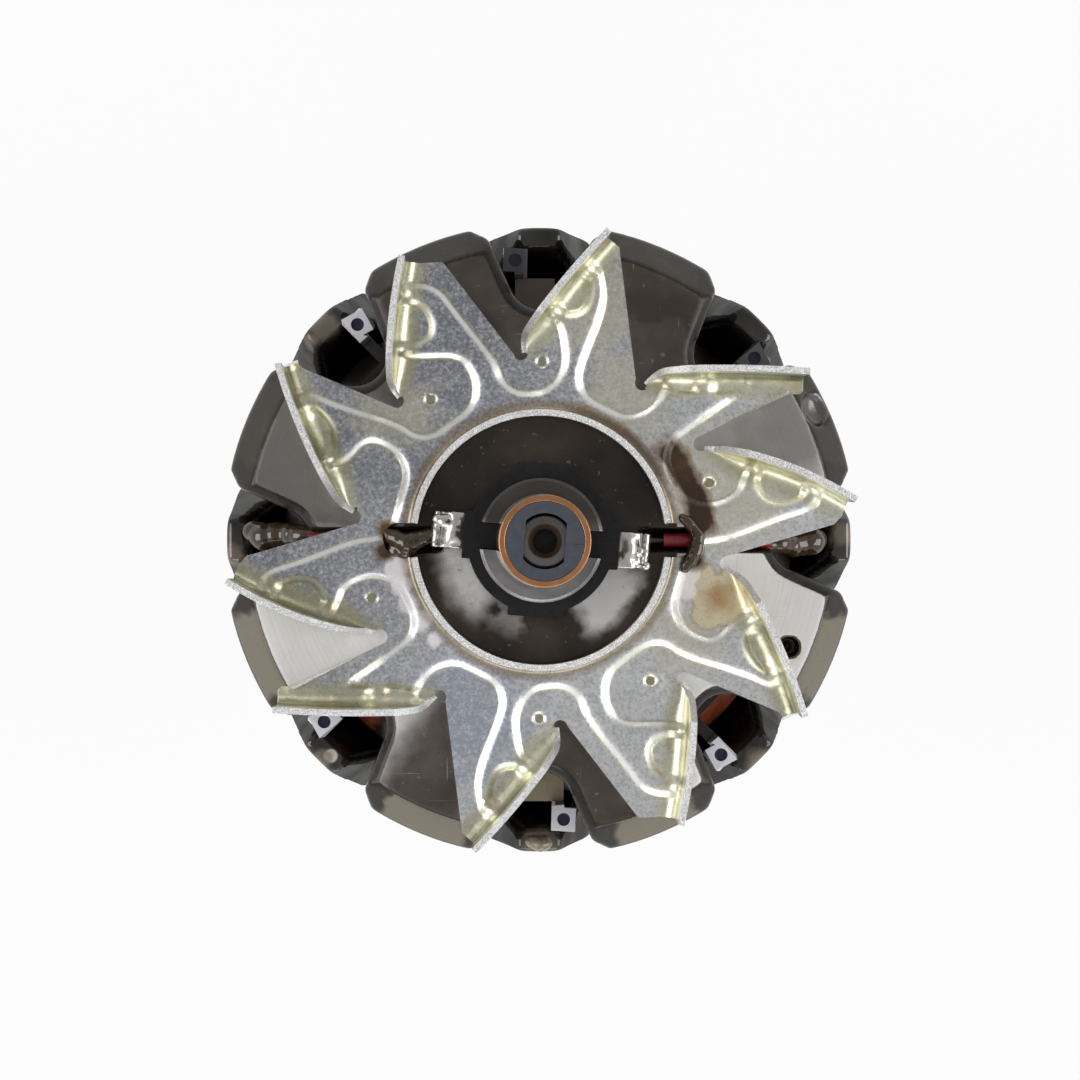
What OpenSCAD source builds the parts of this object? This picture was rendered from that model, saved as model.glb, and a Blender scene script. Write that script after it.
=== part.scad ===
// Claw-pole rotor of a vehicle alternator, standing on the drive end of its shaft.
// Millimetres, slip-ring end up; angles count from +X towards +Y.

/* [Claw poles] */
// Outside diameter of the rotor
rotor_od = 106; // [98:0.5:116]
// Length over the two claw poles
stack_len = 54; // [50:0.5:62]
// Thickness of each pole disc
disc_t = 14; // [12:0.5:16]
// Claws on each pole
claws = 8; // [6:1:8]
// Depth of the valley between two claws, in from the rotor diameter
valley_depth = 14.6; // [13.5:0.1:16.5]
// Rounding of the valley bottom
valley_round = 5.4; // [4:0.1:6.5]
// Half angle of the valley
valley_open = 24; // [20:0.5:27]
// Width of the outer bevel across the face
rim_bevel = 4.6; // [3:0.1:6]
// Drop of the outer bevel along the axis
rim_drop = 5.2; // [3:0.1:7]
// Bevel along the flanks of a claw
flank_bevel = 1.6; // [0.8:0.1:2.2]
// Cut across the outer corners of a claw
corner_cut = 2.2; // [0.8:0.1:2.8]
// Width of a finger at its root
root_w = 21.8; // [19:0.1:22]
// Width of a finger at its tip
tip_w = 7; // [5:0.1:9]
// Radial thickness of a finger at its tip
tip_t = 4; // [3:0.1:5]
// Radial thickness of a finger at its root
root_t = 12; // [10:0.1:13]
// Diameter of the balance drilling in the outer bevel
rim_drill_d = 5.6; // [4:0.1:6]
// Depth of the balance drilling in the outer bevel
rim_drill_depth = 1.2; // [0.8:0.1:2]
// Diameter of the balance drilling in a claw face
face_drill_d = 3.4; // [2.5:0.1:4.5]
// Depth of the balance drilling in a claw face
face_drill_depth = 4; // [3:0.1:6]
// Distance of that drilling inside the rotor diameter
face_drill_in = 8.2; // [7:0.1:9]

/* [Coil] */
// Radial depth of the winding
coil_depth = 18.4; // [16:0.1:20]
// Gap between the winding and the fingers
coil_clear = 1.5; // [1:0.1:3]
// Wall of the bobbin
bobbin_t = 1.1; // [0.8:0.1:1.5]
// Diameter of a lead wire
wire_d = 1.2; // [0.8:0.1:1.6]
// Diameter of the lead sleeve
sleeve_d = 2.4; // [2:0.1:2.8]
// Diameter of the bobbin posts that hold the leads
post_d = 3.6; // [3:0.1:4]
// Distance of the post axis inside the rotor diameter
post_in = 6.6; // [6:0.1:7.5]
// Rise of the posts above the inner face of the rear pole
post_rise = 6; // [5:0.1:7]
// Width of the bobbin tabs in the valleys
tab_w = 5.2; // [4:0.1:6]
// Reach of the bobbin tabs beyond the flange
tab_reach = 4; // [3:0.1:5]
// Side of the square bobbin ears on the finger tips
ear_w = 4; // [3:0.1:4.6]
// Distance of the middle of an ear inside the rotor diameter
ear_in = 5.7; // [5:0.1:7]
// Distance of the middle of an ear from the middle of its finger
ear_side = 4.1; // [3.4:0.1:4.4]
// Width of the arm of an ear
ear_arm = 2; // [1.4:0.1:2.4]
// Diameter of the dimple in an ear
dimple_d = 2.2; // [1.5:0.1:2.6]
// Depth of the dimple in an ear
dimple_depth = 0.5; // [0.3:0.05:0.7]

/* [Fans] */
// Sheet thickness
sheet = 1.05; // [0.9:0.05:1.4]
// Height of the pressed ribs
emboss = 1; // [0.6:0.05:1.2]
// Height of the rear blades above the claw face
rear_blade_h = 12; // [8:0.5:14]
// Height of the front blades above the claw face
front_blade_h = 9; // [7:0.5:10]
// Flat ring of sheet between the collar and the slot ends
slot_land = 8.25; // [7.5:0.05:9.5]
// Rounding of a slot end
slot_round = 1.2; // [0.9:0.1:1.5]
// Distance of the blade tips inside the rotor diameter
tip_inset = 1.4; // [1:0.1:3]
// Cut across the corner of an arm beside its tip
arm_cut = 2.9; // [2:0.1:4]
// Width of the flat strip along an arm
strip_w = 3; // [2:0.1:4]
// Reach of the pressed pockets in from the slot ends
pocket_reach = 5; // [4:0.1:5.5]
// Bow of a blade
blade_bow = 1.7; // [0.5:0.1:2.2]
// Clearance between the lugs and the drawn collar
collar_clear = 3.1; // [2:0.05:4]
// Fold at the foot of the collar
collar_fold = 1.6; // [1.2:0.1:2.2]
// Height of the collar above the claw face
collar_h = 7; // [4:0.1:8]
// Width of the two notches that pass the leads
notch_w = 5.6; // [5:0.1:6.5]
// Depth of the notches beyond the collar
notch_depth = 4.5; // [4:0.1:5.2]
// Diameter of a weld spot
weld_d = 1.8; // [1.4:0.1:2.4]
// Depth of a weld spot
weld_depth = 0.3; // [0.2:0.05:0.5]

/* [Shaft] */
// Diameter of the threaded end, over the thread
thread_d = 16; // [14:0.1:16]
// Length of the threaded end
thread_len = 20; // [16:0.5:24]
// Diameter of the drive-end journal
journal_d = 17; // [16.5:0.1:17.5]
// Length from the drive end to the front claw pole
drive_len = 70; // [64:0.5:78]
// Diameter inside the poles
press_d = 18; // [17.6:0.1:20]
// Diameter of the shoulder below the rear bearing
shoulder_d = 20.4; // [20.1:0.1:21]
// Height of the shoulder above the claw face
shoulder_h = 9; // [8:0.1:11]
// Diameter of the rear bearing seat
seat_d = 15; // [14.6:0.1:15.4]
// Length of the rear bearing seat
seat_len = 13; // [11:0.1:16]
// Diameter of the shaft under the slip rings
stub_d = 8.2; // [7.6:0.1:8.6]
// Distance across the flats of the stub
stub_flats = 6.3; // [5.6:0.1:6.8]
// Diameter of the centre holes
centre_d = 3.7; // [3:0.1:4.2]
// Depth of the centre holes
centre_depth = 8; // [6:0.5:12]
// Countersink of the centre holes
centre_sink = 0.8; // [0.4:0.1:1.2]
// Outside diameter of the drive-end spacer
spacer_od = 25; // [23:0.5:28]
// Length of the drive-end spacer
spacer_len = 12; // [11.5:0.5:16]
// Step of the shaft under the spacer, over the journal diameter
spacer_step = 0.6; // [0.4:0.1:0.9]

/* [Slip rings] */
// Diameter of the slip rings
ring_d = 14.2; // [13.8:0.1:14.6]
// Wall of the slip rings
ring_t = 1; // [0.8:0.05:1.2]
// Width of one slip ring
ring_w = 10; // [8:0.1:11]
// Land between the slip rings
ring_gap = 2; // [1.5:0.1:3]
// Turn of the slip-ring moulding about the shaft
ring_turn = -4.5; // [-8:0.5:4]
// Width of a conductor bar
bar_w = 4.2; // [3.6:0.1:4.4]
// Wall of the base ring round the shaft shoulder
base_wall = 1.9; // [1.6:0.1:2.8]
// Height of the base ring above the claw face
base_h = 6.5; // [5:0.1:7.5]
// Width of the keys at the top and bottom of the base ring
key_w = 9; // [7:0.1:11]
// Width of the bosses that carry the lugs
boss_w = 7.8; // [7:0.1:9]
// Reach of the bosses beyond the base ring
boss_reach = 0.7; // [0.4:0.1:1.2]
// Width of a lug
lug_w = 5.6; // [4.5:0.1:6]
// Metal thickness of a lug
lug_t = 0.9; // [0.7:0.05:1.1]
// Reach of a lug beyond its boss
lug_reach = 4.5; // [3.8:0.1:5.5]

/* [Hidden] */
$fn = 96;
eps = 0.05;
gap = 0.1;
rotor_r = rotor_od / 2;
valley_r = rotor_r - valley_depth;
base_od = shoulder_d + 2 * base_wall;
boss_r = base_od / 2 + boss_reach;
lug_r = boss_r + lug_reach;
pitch = 360 / claws;
mid_z = drive_len + stack_len / 2;
rear_z = drive_len + stack_len;
half = stack_len / 2;
disc_in = half - disc_t;
shoulder_z = rear_z + shoulder_h;
seat_top = shoulder_z + seat_len;
spacer_z = drive_len - spacer_len;
spacer_d = journal_d + spacer_step;
moulding_len = 2 * ring_w + 2 * ring_gap;
moulding_top = seat_top + moulding_len;
stub_top = moulding_top - 0.5;
coil_half = disc_in - bobbin_t;
coil_r = rotor_r - (tip_t + root_t) / 2 - coil_clear;
coil_in = coil_r - coil_depth;
core_od = 2 * (coil_in - bobbin_t);
flange_r = rotor_r - root_t - coil_clear / 2;
groove_w = sleeve_d + 0.8;
groove_d = sleeve_d + 0.4;
lead_z = rear_z - groove_d / 2;
post_r = rotor_r - post_in;
ear_r = rotor_r - ear_in;
post_z = mid_z + disc_in + post_rise;
fan_tip_r = rotor_r - tip_inset;
corner_r = fan_tip_r - arm_cut;
collar_in = lug_r + collar_clear;
collar_r = collar_in + sheet;
slot_r = collar_r + slot_land;
notch_r = collar_r + notch_depth;
pocket_r = slot_r - pocket_reach;
far_r = 2 * rotor_r;

// Uneven blade spacing over half a turn, in degrees; the other half repeats it.
slot_a = [31, 57.1, 96, 135.9, 172.9];
slot_extra = [0, 0, 0.2, 2.2, 0.2];
tip_a = [8.1, 32.9, 78.4, 116.8, 146.9];
corner_a = [3.1, 30.7, 74.3, 109.4, 144.2];
pocket_a = [12.5, 50.5, 83, 113, 149];
strip_a = [36.2, 76, 103.5, 140, 179];
weld_a = [18.8, 89.5, 128];
// Places of the balance drillings, in degrees.
rim_drill_a = 25.5;
face_drill_a = -23.3;

function pol(r, a) = [r * cos(a), r * sin(a)];
function turn(list, i) = list[i % 5] + 180 * floor(i / 5);
function unit(v) = v / norm(v);
function left_of(v) = [-v[1], v[0]];
function slot_end(i) = slot_r + slot_extra[i % 5];
function slot_side(i, s) =
  pol(slot_end(i) + slot_round, turn(slot_a, i) + s * asin(slot_round / slot_end(i)));
function tip(i) = pol(fan_tip_r, turn(tip_a, i));
function corner(i) = pol(corner_r, turn(corner_a, i));
// A point on the outer face of blade i: t runs from the slot to the tip, d goes into the arm.
function blade_at(i, t, d) =
  let (a = slot_side(i, -1), v = tip(i) - a, n = left_of(unit(v)))
  a + v * t + n * (4 * blade_bow * t * (1 - t) - d);

// Everything outside the fan between blade i and the straight edge of the next arm.
module slot_cut(i) {
  polygon(concat(
    [for (k = [0:6]) blade_at(i, k / 6, 0)],
    [pol(far_r, turn(tip_a, i))],
    [pol(far_r, (turn(tip_a, i) + turn(tip_a, i + 1)) / 2)],
    [pol(far_r, turn(tip_a, i + 1))],
    [tip(i + 1), corner(i + 1), slot_side(i, 1)]));
  translate(pol(slot_end(i) + slot_round, turn(slot_a, i))) circle(r = slot_round, $fn = 32);
}

// Low zone round slot i, where the sheet lies on the claws; g widens it.
module low_zone(i, g) {
  pa = turn(pocket_a, i);
  sa = turn(strip_a, i);
  w = 57.3 * g / slot_r;
  inward = unit(slot_side(i, 1) - corner(i + 1));
  side = left_of(inward) * -1;
  polygon([
    blade_at(i, 0.34, -2),
    blade_at(i, 0.34, 1.5 + g),
    pol(slot_r + 3.4, pa + 1.2 - w),
    pol(slot_r, pa - w),
    pol(slot_r - 2.8, pa + 1.6 - w),
    pol(pocket_r + 0.4 - g, pa + 6 - w / 2),
    pol(pocket_r - g, (pa + sa) / 2),
    pol(pocket_r + 0.4 - g, sa - 5 + w / 2),
    pol(slot_r - 2.6, sa - 1 + w),
    pol(slot_r + 0.6, sa + w),
    corner(i + 1) + inward * (strip_w + 1) + side * (strip_w + g),
    blade_at(i + 1, 0.84 - g / 26, -1),
    tip(i + 1) * 1.05,
    corner(i + 1) * 1.05,
    slot_side(i, 1)]);
}

// Pocket pressed against blade i.
module blade_pocket(i, g) {
  polygon(concat(
    [blade_at(i, 0.4 - g / 26, -1)],
    [for (k = [0:6]) blade_at(i, 0.4 - g / 26 + (0.33 + g / 13) * k / 6,
                              1.6 + g + 2.7 * sin(30 + 25 * (6 - k)))],
    [blade_at(i, 0.73 + g / 26, -1)]));
}

module fan_outline(bore) {
  difference() {
    circle(r = rotor_r);
    circle(r = bore);
    for (i = [0:9]) slot_cut(i);
  }
}

module fan_low() {
  intersection() {
    fan_outline(collar_in);
    union() {
      for (i = [0:9]) low_zone(i, 0);
      for (i = [0:9]) blade_pocket(i, 0);
    }
  }
}

module fan_high() {
  difference() {
    fan_outline(collar_in);
    for (i = [0:9]) low_zone(i, 0);
    for (i = [0:9]) blade_pocket(i, 0);
  }
}

module fan_wall() {
  intersection() {
    fan_high();
    union() {
      for (i = [0:9]) low_zone(i, sheet);
      for (i = [0:9]) blade_pocket(i, sheet);
    }
  }
}

// One blade, folded up along the edge of its slot, with a sloping inner end.
module blade(i, h) {
  low = slot_side(i, -1);
  ang = atan2(tip(i)[1] - low[1], tip(i)[0] - low[0]);
  run = norm(tip(i) - low);
  difference() {
    linear_extrude(height = h)
      polygon(concat(
        [for (k = [0:8]) blade_at(i, k / 8, 0)],
        [for (k = [8:-1:0]) blade_at(i, k / 8, sheet)]));
    translate([low[0], low[1], 0]) rotate([0, 0, ang]) rotate([90, 0, 0])
      translate([0, 0, -6]) linear_extrude(height = 12)
        polygon([[-3, sheet + 1], [0.5, sheet + 1], [run * 0.3, h], [run * 0.3, h + 2], [-3, h + 2]]);
  }
}

module fan(h, lead_notches) {
  difference() {
    union() {
      linear_extrude(height = sheet) fan_low();
      translate([0, 0, emboss]) linear_extrude(height = sheet) fan_high();
      linear_extrude(height = emboss + sheet / 2) fan_wall();
      for (i = [0:9]) blade(i, h);
      rotate_extrude($fn = 128)
        polygon([[collar_in, emboss], [collar_r + collar_fold, emboss],
                 [collar_r + collar_fold, emboss + sheet],
                 [collar_r + collar_fold * 0.3, emboss + sheet + collar_fold * 0.3],
                 [collar_r, emboss + sheet + collar_fold], [collar_r, collar_h],
                 [collar_in, collar_h]]);
    }
    if (lead_notches)
      for (a = [0, 180]) rotate([0, 0, a]) {
        translate([0, -notch_w / 2, -1])
          cube([notch_r - notch_w / 2, notch_w, collar_h + 2]);
        translate([notch_r - notch_w / 2, 0, -1]) cylinder(d = notch_w, h = collar_h + 2, $fn = 32);
      }
    for (s = [0, 180]) for (a = weld_a) rotate([0, 0, a + s])
      translate([slot_r, 0, sheet - weld_depth]) cylinder(d = weld_d, h = sheet, $fn = 24);
  }
}

// Round bottom of one valley, which opens along +X.
module valley_bottom() {
  translate([valley_r + valley_round, 0, -half])
    cylinder(r = valley_round, h = stack_len + 2, $fn = 64);
}

// Wedge between the flanks of two claws.
module valley_wedge() {
  c = valley_r + valley_round;
  p = (valley_round - eps) * cos(valley_open);
  x = c - (valley_round - eps) * sin(valley_open);
  far = far_r;
  translate([0, 0, -half]) linear_extrude(height = stack_len + 2)
    polygon([[x, -p], [far, -p - (far - x) * tan(valley_open)],
             [far, p + (far - x) * tan(valley_open)], [x, p]]);
}

module valley_bevel() {
  c = valley_r + valley_round;
  x = c - valley_round * sin(valley_open);
  p = valley_round * cos(valley_open);
  translate([c, 0, half - flank_bevel])
    cylinder(r1 = valley_round, r2 = valley_round + 2 * flank_bevel, h = 2 * flank_bevel, $fn = 64);
  for (s = [-1, 1])
    translate([x, s * p, half]) rotate([0, 0, s * valley_open]) rotate([90, 0, 90])
      linear_extrude(height = rotor_r)
        polygon([[s * flank_bevel, 0], [0, -flank_bevel], [-s * flank_bevel, -flank_bevel],
                 [-s * flank_bevel, 1], [s * flank_bevel, 1]]);
}

// Cuts across the two outer corners beside a valley.
module valley_corners() {
  foot = [valley_r + valley_round * (1 - sin(valley_open)), valley_round * cos(valley_open)];
  way = [cos(valley_open), sin(valley_open)];
  run = sqrt(rotor_r * rotor_r - pow(foot[0] * way[1] - foot[1] * way[0], 2)) - foot * way;
  tip = foot + way * run;
  a = tip - way * corner_cut;
  b = pol(rotor_r, atan2(tip[1], tip[0]) + corner_cut / rotor_r * 180 / PI);
  e = unit(b - a) * corner_cut;
  n = [e[1], -e[0]] * 2;
  for (s = [-1, 1]) translate([0, 0, -half - 1]) linear_extrude(height = stack_len + 2)
    polygon([for (q = [a - e, b + e, b + e + n, a - e + n]) [q[0], s * q[1]]]);
}

// One claw pole about the middle of the stack, its face towards +Z.
module claw_pole() {
  intersection() {
    rotate_extrude($fn = 160)
      polygon([[press_d / 2, half], [rotor_r - rim_bevel, half], [rotor_r, half - rim_drop],
               [rotor_r, -disc_in], [rotor_r - tip_t, -disc_in], [rotor_r - root_t, disc_in],
               [press_d / 2, disc_in]]);
    difference() {
      union() {
        translate([0, 0, disc_in - eps]) cylinder(r = rotor_r + 2, h = disc_t + 1);
        for (k = [0:claws - 1]) rotate([0, 0, k * pitch]) rotate([90, 0, 90])
          linear_extrude(height = rotor_r + 2)
            polygon([[-root_w / 2, disc_in], [-tip_w / 2, -disc_in - 1],
                     [tip_w / 2, -disc_in - 1], [root_w / 2, disc_in]]);
      }
      for (k = [0:claws - 1]) rotate([0, 0, (k + 0.5) * pitch]) valley_bottom();
      for (k = [0:claws - 1]) rotate([0, 0, (k + 0.5) * pitch]) valley_wedge();
      for (k = [0:claws - 1]) rotate([0, 0, (k + 0.5) * pitch]) valley_bevel();
      for (k = [0:claws - 1]) rotate([0, 0, (k + 0.5) * pitch]) valley_corners();
    }
  }
}

// Balance drilling with a drill-point bottom, going down from the origin.
module drilling(d, depth) {
  translate([0, 0, -depth]) cylinder(d = d, h = 2 * depth, $fn = 48);
  translate([0, 0, -depth - d / 5]) cylinder(d1 = 0.1, d2 = d, h = d / 5, $fn = 48);
}

module front_claw_pole() color([0.16, 0.15, 0.14])
  translate([0, 0, mid_z]) rotate([180, 0, 0]) claw_pole();

module rear_claw_pole() color([0.3, 0.28, 0.26]) {
  difference() {
    translate([0, 0, mid_z]) rotate([0, 0, pitch / 2]) claw_pole();
    for (a = [0, 180]) rotate([0, 0, a])
      translate([lug_r - lug_t, -groove_w / 2, rear_z - groove_d])
        cube([rotor_r, groove_w, groove_d + 1]);
    rotate([0, 0, rim_drill_a]) translate([rotor_r - rim_bevel / 2, 0, rear_z - rim_drop / 2])
      rotate([0, atan2(rim_drop, rim_bevel), 0]) drilling(rim_drill_d, rim_drill_depth);
    rotate([0, 0, face_drill_a]) translate([rotor_r - face_drill_in, 0, rear_z])
      drilling(face_drill_d, face_drill_depth);
  }
}

module pole_core() color([0.2, 0.19, 0.18])
  translate([0, 0, mid_z - disc_in]) difference() {
    cylinder(d = core_od, h = 2 * disc_in);
    translate([0, 0, -1]) cylinder(d = press_d, h = 2 * disc_in + 2);
  }

// Square ear that lies on a finger tip, on an arm from the bobbin flange; s picks its side.
module ear(s) {
  arm_y = s * (ear_side - (ear_w - ear_arm) / 2) - ear_arm / 2;
  foot_r = ear_r - ear_w / 2 - bobbin_t;
  translate([flange_r - 1, arm_y, coil_half]) cube([foot_r - flange_r + 1 + eps, ear_arm, bobbin_t]);
  translate([foot_r, arm_y, coil_half]) cube([bobbin_t + eps, ear_arm, 2 * bobbin_t]);
  difference() {
    translate([ear_r - ear_w / 2, s * ear_side - ear_w / 2, disc_in]) cube([ear_w, ear_w, bobbin_t]);
    translate([ear_r, s * ear_side, disc_in + bobbin_t - dimple_depth])
      cylinder(d = dimple_d, h = bobbin_t, $fn = 32);
  }
}

module bobbin() color([0.75, 0.66, 0.5])
  translate([0, 0, mid_z]) {
    for (k = [1:claws / 2 - 1]) for (a = [0, 180])
      rotate([0, 0, k * pitch + a]) ear(k % 2 == 1 ? -1 : 1);
    rotate_extrude()
      polygon([[core_od / 2, -disc_in], [flange_r, -disc_in], [flange_r, -coil_half],
               [coil_in, -coil_half], [coil_in, coil_half], [flange_r, coil_half],
               [flange_r, disc_in], [core_od / 2, disc_in]]);
    for (a = [90, 270]) rotate([0, 0, a])
      translate([flange_r - 1, -tab_w / 2, coil_half]) cube([tab_reach + 1, tab_w, bobbin_t]);
    for (a = [0, 180]) rotate([0, 0, a]) {
      translate([flange_r - 1, -post_d / 2, coil_half]) cube([post_r - flange_r + 1, post_d, bobbin_t]);
      translate([post_r, 0, coil_half]) cylinder(d = post_d, h = post_z - mid_z - coil_half, $fn = 32);
    }
  }

module field_coil() color([0.6, 0.3, 0.18])
  translate([0, 0, mid_z]) rotate_extrude()
    polygon([[coil_in, -coil_half], [flange_r, -coil_half], [coil_r, -coil_half * 0.35],
             [coil_r, coil_half * 0.35], [flange_r, coil_half], [coil_in, coil_half]]);

module rear_fan() color([0.62, 0.64, 0.64]) translate([0, 0, rear_z]) fan(rear_blade_h, true);

module front_fan() color([0.62, 0.64, 0.64])
  translate([0, 0, drive_len]) rotate([180, 0, 0]) fan(front_blade_h, false);

module shaft() color([0.5, 0.5, 0.5]) {
  difference() {
    rotate_extrude()
      polygon([[0, 0], [thread_d / 2 - 1, 0], [thread_d / 2, 1], [thread_d / 2, thread_len],
               [journal_d / 2, thread_len], [journal_d / 2, spacer_z], [spacer_d / 2, spacer_z],
               [spacer_d / 2, drive_len], [press_d / 2, drive_len], [press_d / 2, rear_z],
               [shoulder_d / 2, rear_z], [shoulder_d / 2, shoulder_z - 0.5],
               [shoulder_d / 2 - 0.5, shoulder_z], [seat_d / 2, shoulder_z],
               [seat_d / 2, seat_top - 0.5], [seat_d / 2 - 0.5, seat_top], [stub_d / 2, seat_top],
               [stub_d / 2, stub_top - 0.3], [stub_d / 2 - 0.3, stub_top], [0, stub_top]]);
    translate([0, 0, -1]) cylinder(d = centre_d, h = centre_depth + 1, $fn = 48);
    translate([0, 0, -0.01])
      cylinder(r1 = centre_d / 2 + centre_sink, r2 = centre_d / 2, h = 1.5 * centre_sink, $fn = 48);
    translate([0, 0, stub_top - centre_depth]) cylinder(d = centre_d, h = centre_depth + 1, $fn = 48);
    translate([0, 0, stub_top - 1.5 * centre_sink + 0.01])
      cylinder(r1 = centre_d / 2, r2 = centre_d / 2 + centre_sink, h = 1.5 * centre_sink, $fn = 48);
    for (a = [0, 180]) rotate([0, 0, ring_turn + a])
      translate([stub_flats / 2, -bar_w / 2 - gap, rear_z + base_h - 3])
        cube([shoulder_d, bar_w + 2 * gap, shoulder_z - rear_z + seat_len - base_h + 3 + eps]);
    for (a = [0, 180]) rotate([0, 0, ring_turn + a])
      translate([stub_flats / 2, -stub_d, seat_top]) cube([stub_d, 2 * stub_d, moulding_len + 2]);
  }
}

module drive_end_spacer() color([0.45, 0.45, 0.45])
  translate([0, 0, spacer_z]) difference() {
    cylinder(d = spacer_od, h = spacer_len);
    translate([0, 0, -1]) cylinder(d = spacer_d, h = spacer_len + 2);
  }

// Slip-ring carrier, its two conductor bars and the base ring, moulded in one.
module slip_ring_moulding() color([0.16, 0.16, 0.18])
  rotate([0, 0, ring_turn]) {
    difference() {
      translate([0, 0, seat_top]) rotate_extrude()
        polygon([[0, 0], [ring_d / 2 - 0.3, 0], [ring_d / 2 - 0.3, ring_gap - eps],
                 [ring_d / 2 - ring_t, ring_gap - eps], [ring_d / 2 - ring_t, ring_gap + ring_w + eps],
                 [ring_d / 2 - 0.3, ring_gap + ring_w + eps],
                 [ring_d / 2 - 0.3, 2 * ring_gap + ring_w - eps],
                 [ring_d / 2 - ring_t, 2 * ring_gap + ring_w - eps],
                 [ring_d / 2 - ring_t, moulding_len], [0, moulding_len]]);
      intersection() {
        translate([0, 0, seat_top - 1]) cylinder(d = stub_d + 4 * gap, h = moulding_len + 2);
        translate([-stub_flats / 2, -stub_d, seat_top - 1])
          cube([stub_flats, 2 * stub_d, moulding_len + 2]);
      }
    }
    for (a = [0, 180]) rotate([0, 0, a]) {
      intersection() {
        translate([stub_flats / 2, -bar_w / 2, rear_z + base_h - 3])
          cube([seat_d / 2, bar_w, seat_top - rear_z - base_h + 3]);
        translate([0, 0, rear_z]) cylinder(d = seat_d - 4 * gap, h = seat_top - rear_z);
      }
      translate([seat_d / 2 - 1, -bar_w / 2, rear_z + base_h - 3])
        cube([shoulder_d / 2 - seat_d / 2 + 1.4, bar_w, 3]);
      translate([shoulder_d / 2 + 2 * gap, -boss_w / 2, rear_z])
        cube([boss_r - shoulder_d / 2 - 2 * gap, boss_w, base_h]);
    }
    difference() {
      union() {
        translate([0, 0, rear_z]) cylinder(d = base_od, h = base_h);
        for (a = [90, 270]) rotate([0, 0, a]) translate([seat_d / 2, -key_w / 2, rear_z])
          cube([base_od / 2 + 0.5 - seat_d / 2, key_w, base_h]);
      }
      translate([0, 0, rear_z - 1]) cylinder(d = shoulder_d, h = base_h + 2);
    }
  }

module slip_ring() difference() {
  cylinder(d = ring_d, h = ring_w);
  translate([0, 0, -1]) cylinder(d = ring_d - 2 * ring_t, h = ring_w + 2);
}

module outer_slip_ring() color([0.78, 0.48, 0.3])
  translate([0, 0, seat_top + 2 * ring_gap + ring_w]) slip_ring();

module inner_slip_ring() color([0.78, 0.48, 0.3]) translate([0, 0, seat_top + ring_gap]) slip_ring();

// Tinned lug on the base ring, its end turned up and closed on the lead.
module terminal() rotate([0, 0, ring_turn]) {
  y0 = -(lug_w + wire_d) / 2;
  translate([boss_r, y0, rear_z + 1]) cube([lug_t + eps, lug_w, base_h - 1.4]);
  translate([boss_r + lug_t, y0, rear_z + 1]) cube([lug_reach - lug_t, lug_w, lug_t]);
  translate([lug_r - lug_t, y0, rear_z + 1]) cube([lug_t, lug_w, base_h - 3]);
}

module left_terminal() color([0.75, 0.75, 0.72]) rotate([0, 0, 180]) terminal();

module right_terminal() color([0.75, 0.75, 0.72]) terminal();

// Lead from the bobbin post through the groove in the claw pole to the lug.
module lead() {
  drop_r = valley_r + wire_d / 2 + coil_clear / 2;
  translate([lug_r - wire_d / 4, 0, lead_z]) rotate([0, 90, 0])
    cylinder(d = wire_d, h = drop_r - lug_r + wire_d / 4, $fn = 24);
  translate([lug_r + wire_d / 2, 0, lead_z])
    cylinder(d = wire_d, h = rear_z - lead_z + 2 * wire_d, $fn = 24);
  translate([drop_r, 0, post_z + wire_d / 2]) cylinder(d = wire_d, h = lead_z - post_z, $fn = 24);
  translate([drop_r, 0, post_z + wire_d / 2]) rotate([0, 90, 0])
    cylinder(d = wire_d, h = post_r - drop_r + wire_d, $fn = 24);
}

module sleeve() difference() {
  translate([collar_in, 0, lead_z]) rotate([0, 90, 0])
    cylinder(d = sleeve_d, h = valley_r - collar_in, $fn = 32);
  translate([collar_in - 1, 0, lead_z]) rotate([0, 90, 0])
    cylinder(d = wire_d, h = valley_r - collar_in + 2, $fn = 24);
}

module left_lead() color([0.55, 0.3, 0.15]) rotate([0, 0, 180]) lead();

module right_lead() color([0.55, 0.3, 0.15]) lead();

module left_lead_sleeve() color([0.62, 0.12, 0.14]) rotate([0, 0, 180]) sleeve();

module right_lead_sleeve() color([0.62, 0.12, 0.14]) sleeve();

shaft();
drive_end_spacer();
front_claw_pole();
rear_claw_pole();
pole_core();
bobbin();
field_coil();
front_fan();
rear_fan();
slip_ring_moulding();
outer_slip_ring();
inner_slip_ring();
left_terminal();
right_terminal();
left_lead();
right_lead();
left_lead_sleeve();
right_lead_sleeve();
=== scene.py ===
# %% [markdown]
# # An alternator rotor, seen along its shaft
# The exact solids of this rotor come from the CAD frame. This lesson dresses them in Blender: some are
# softened at their edges, and the ones that a solid can't show well are made again as pressed sheet,
# wound wire, cut thread and set resin. Places are in millimetres in the frame's own axes, with +Z along
# the shaft towards the slip rings, and every mesh is scaled by MM when it is made.

import math
import random
from contextlib import contextmanager

import bmesh
import bpy
import numpy as np
from mathutils import Matrix, Vector, geometry, noise


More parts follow.
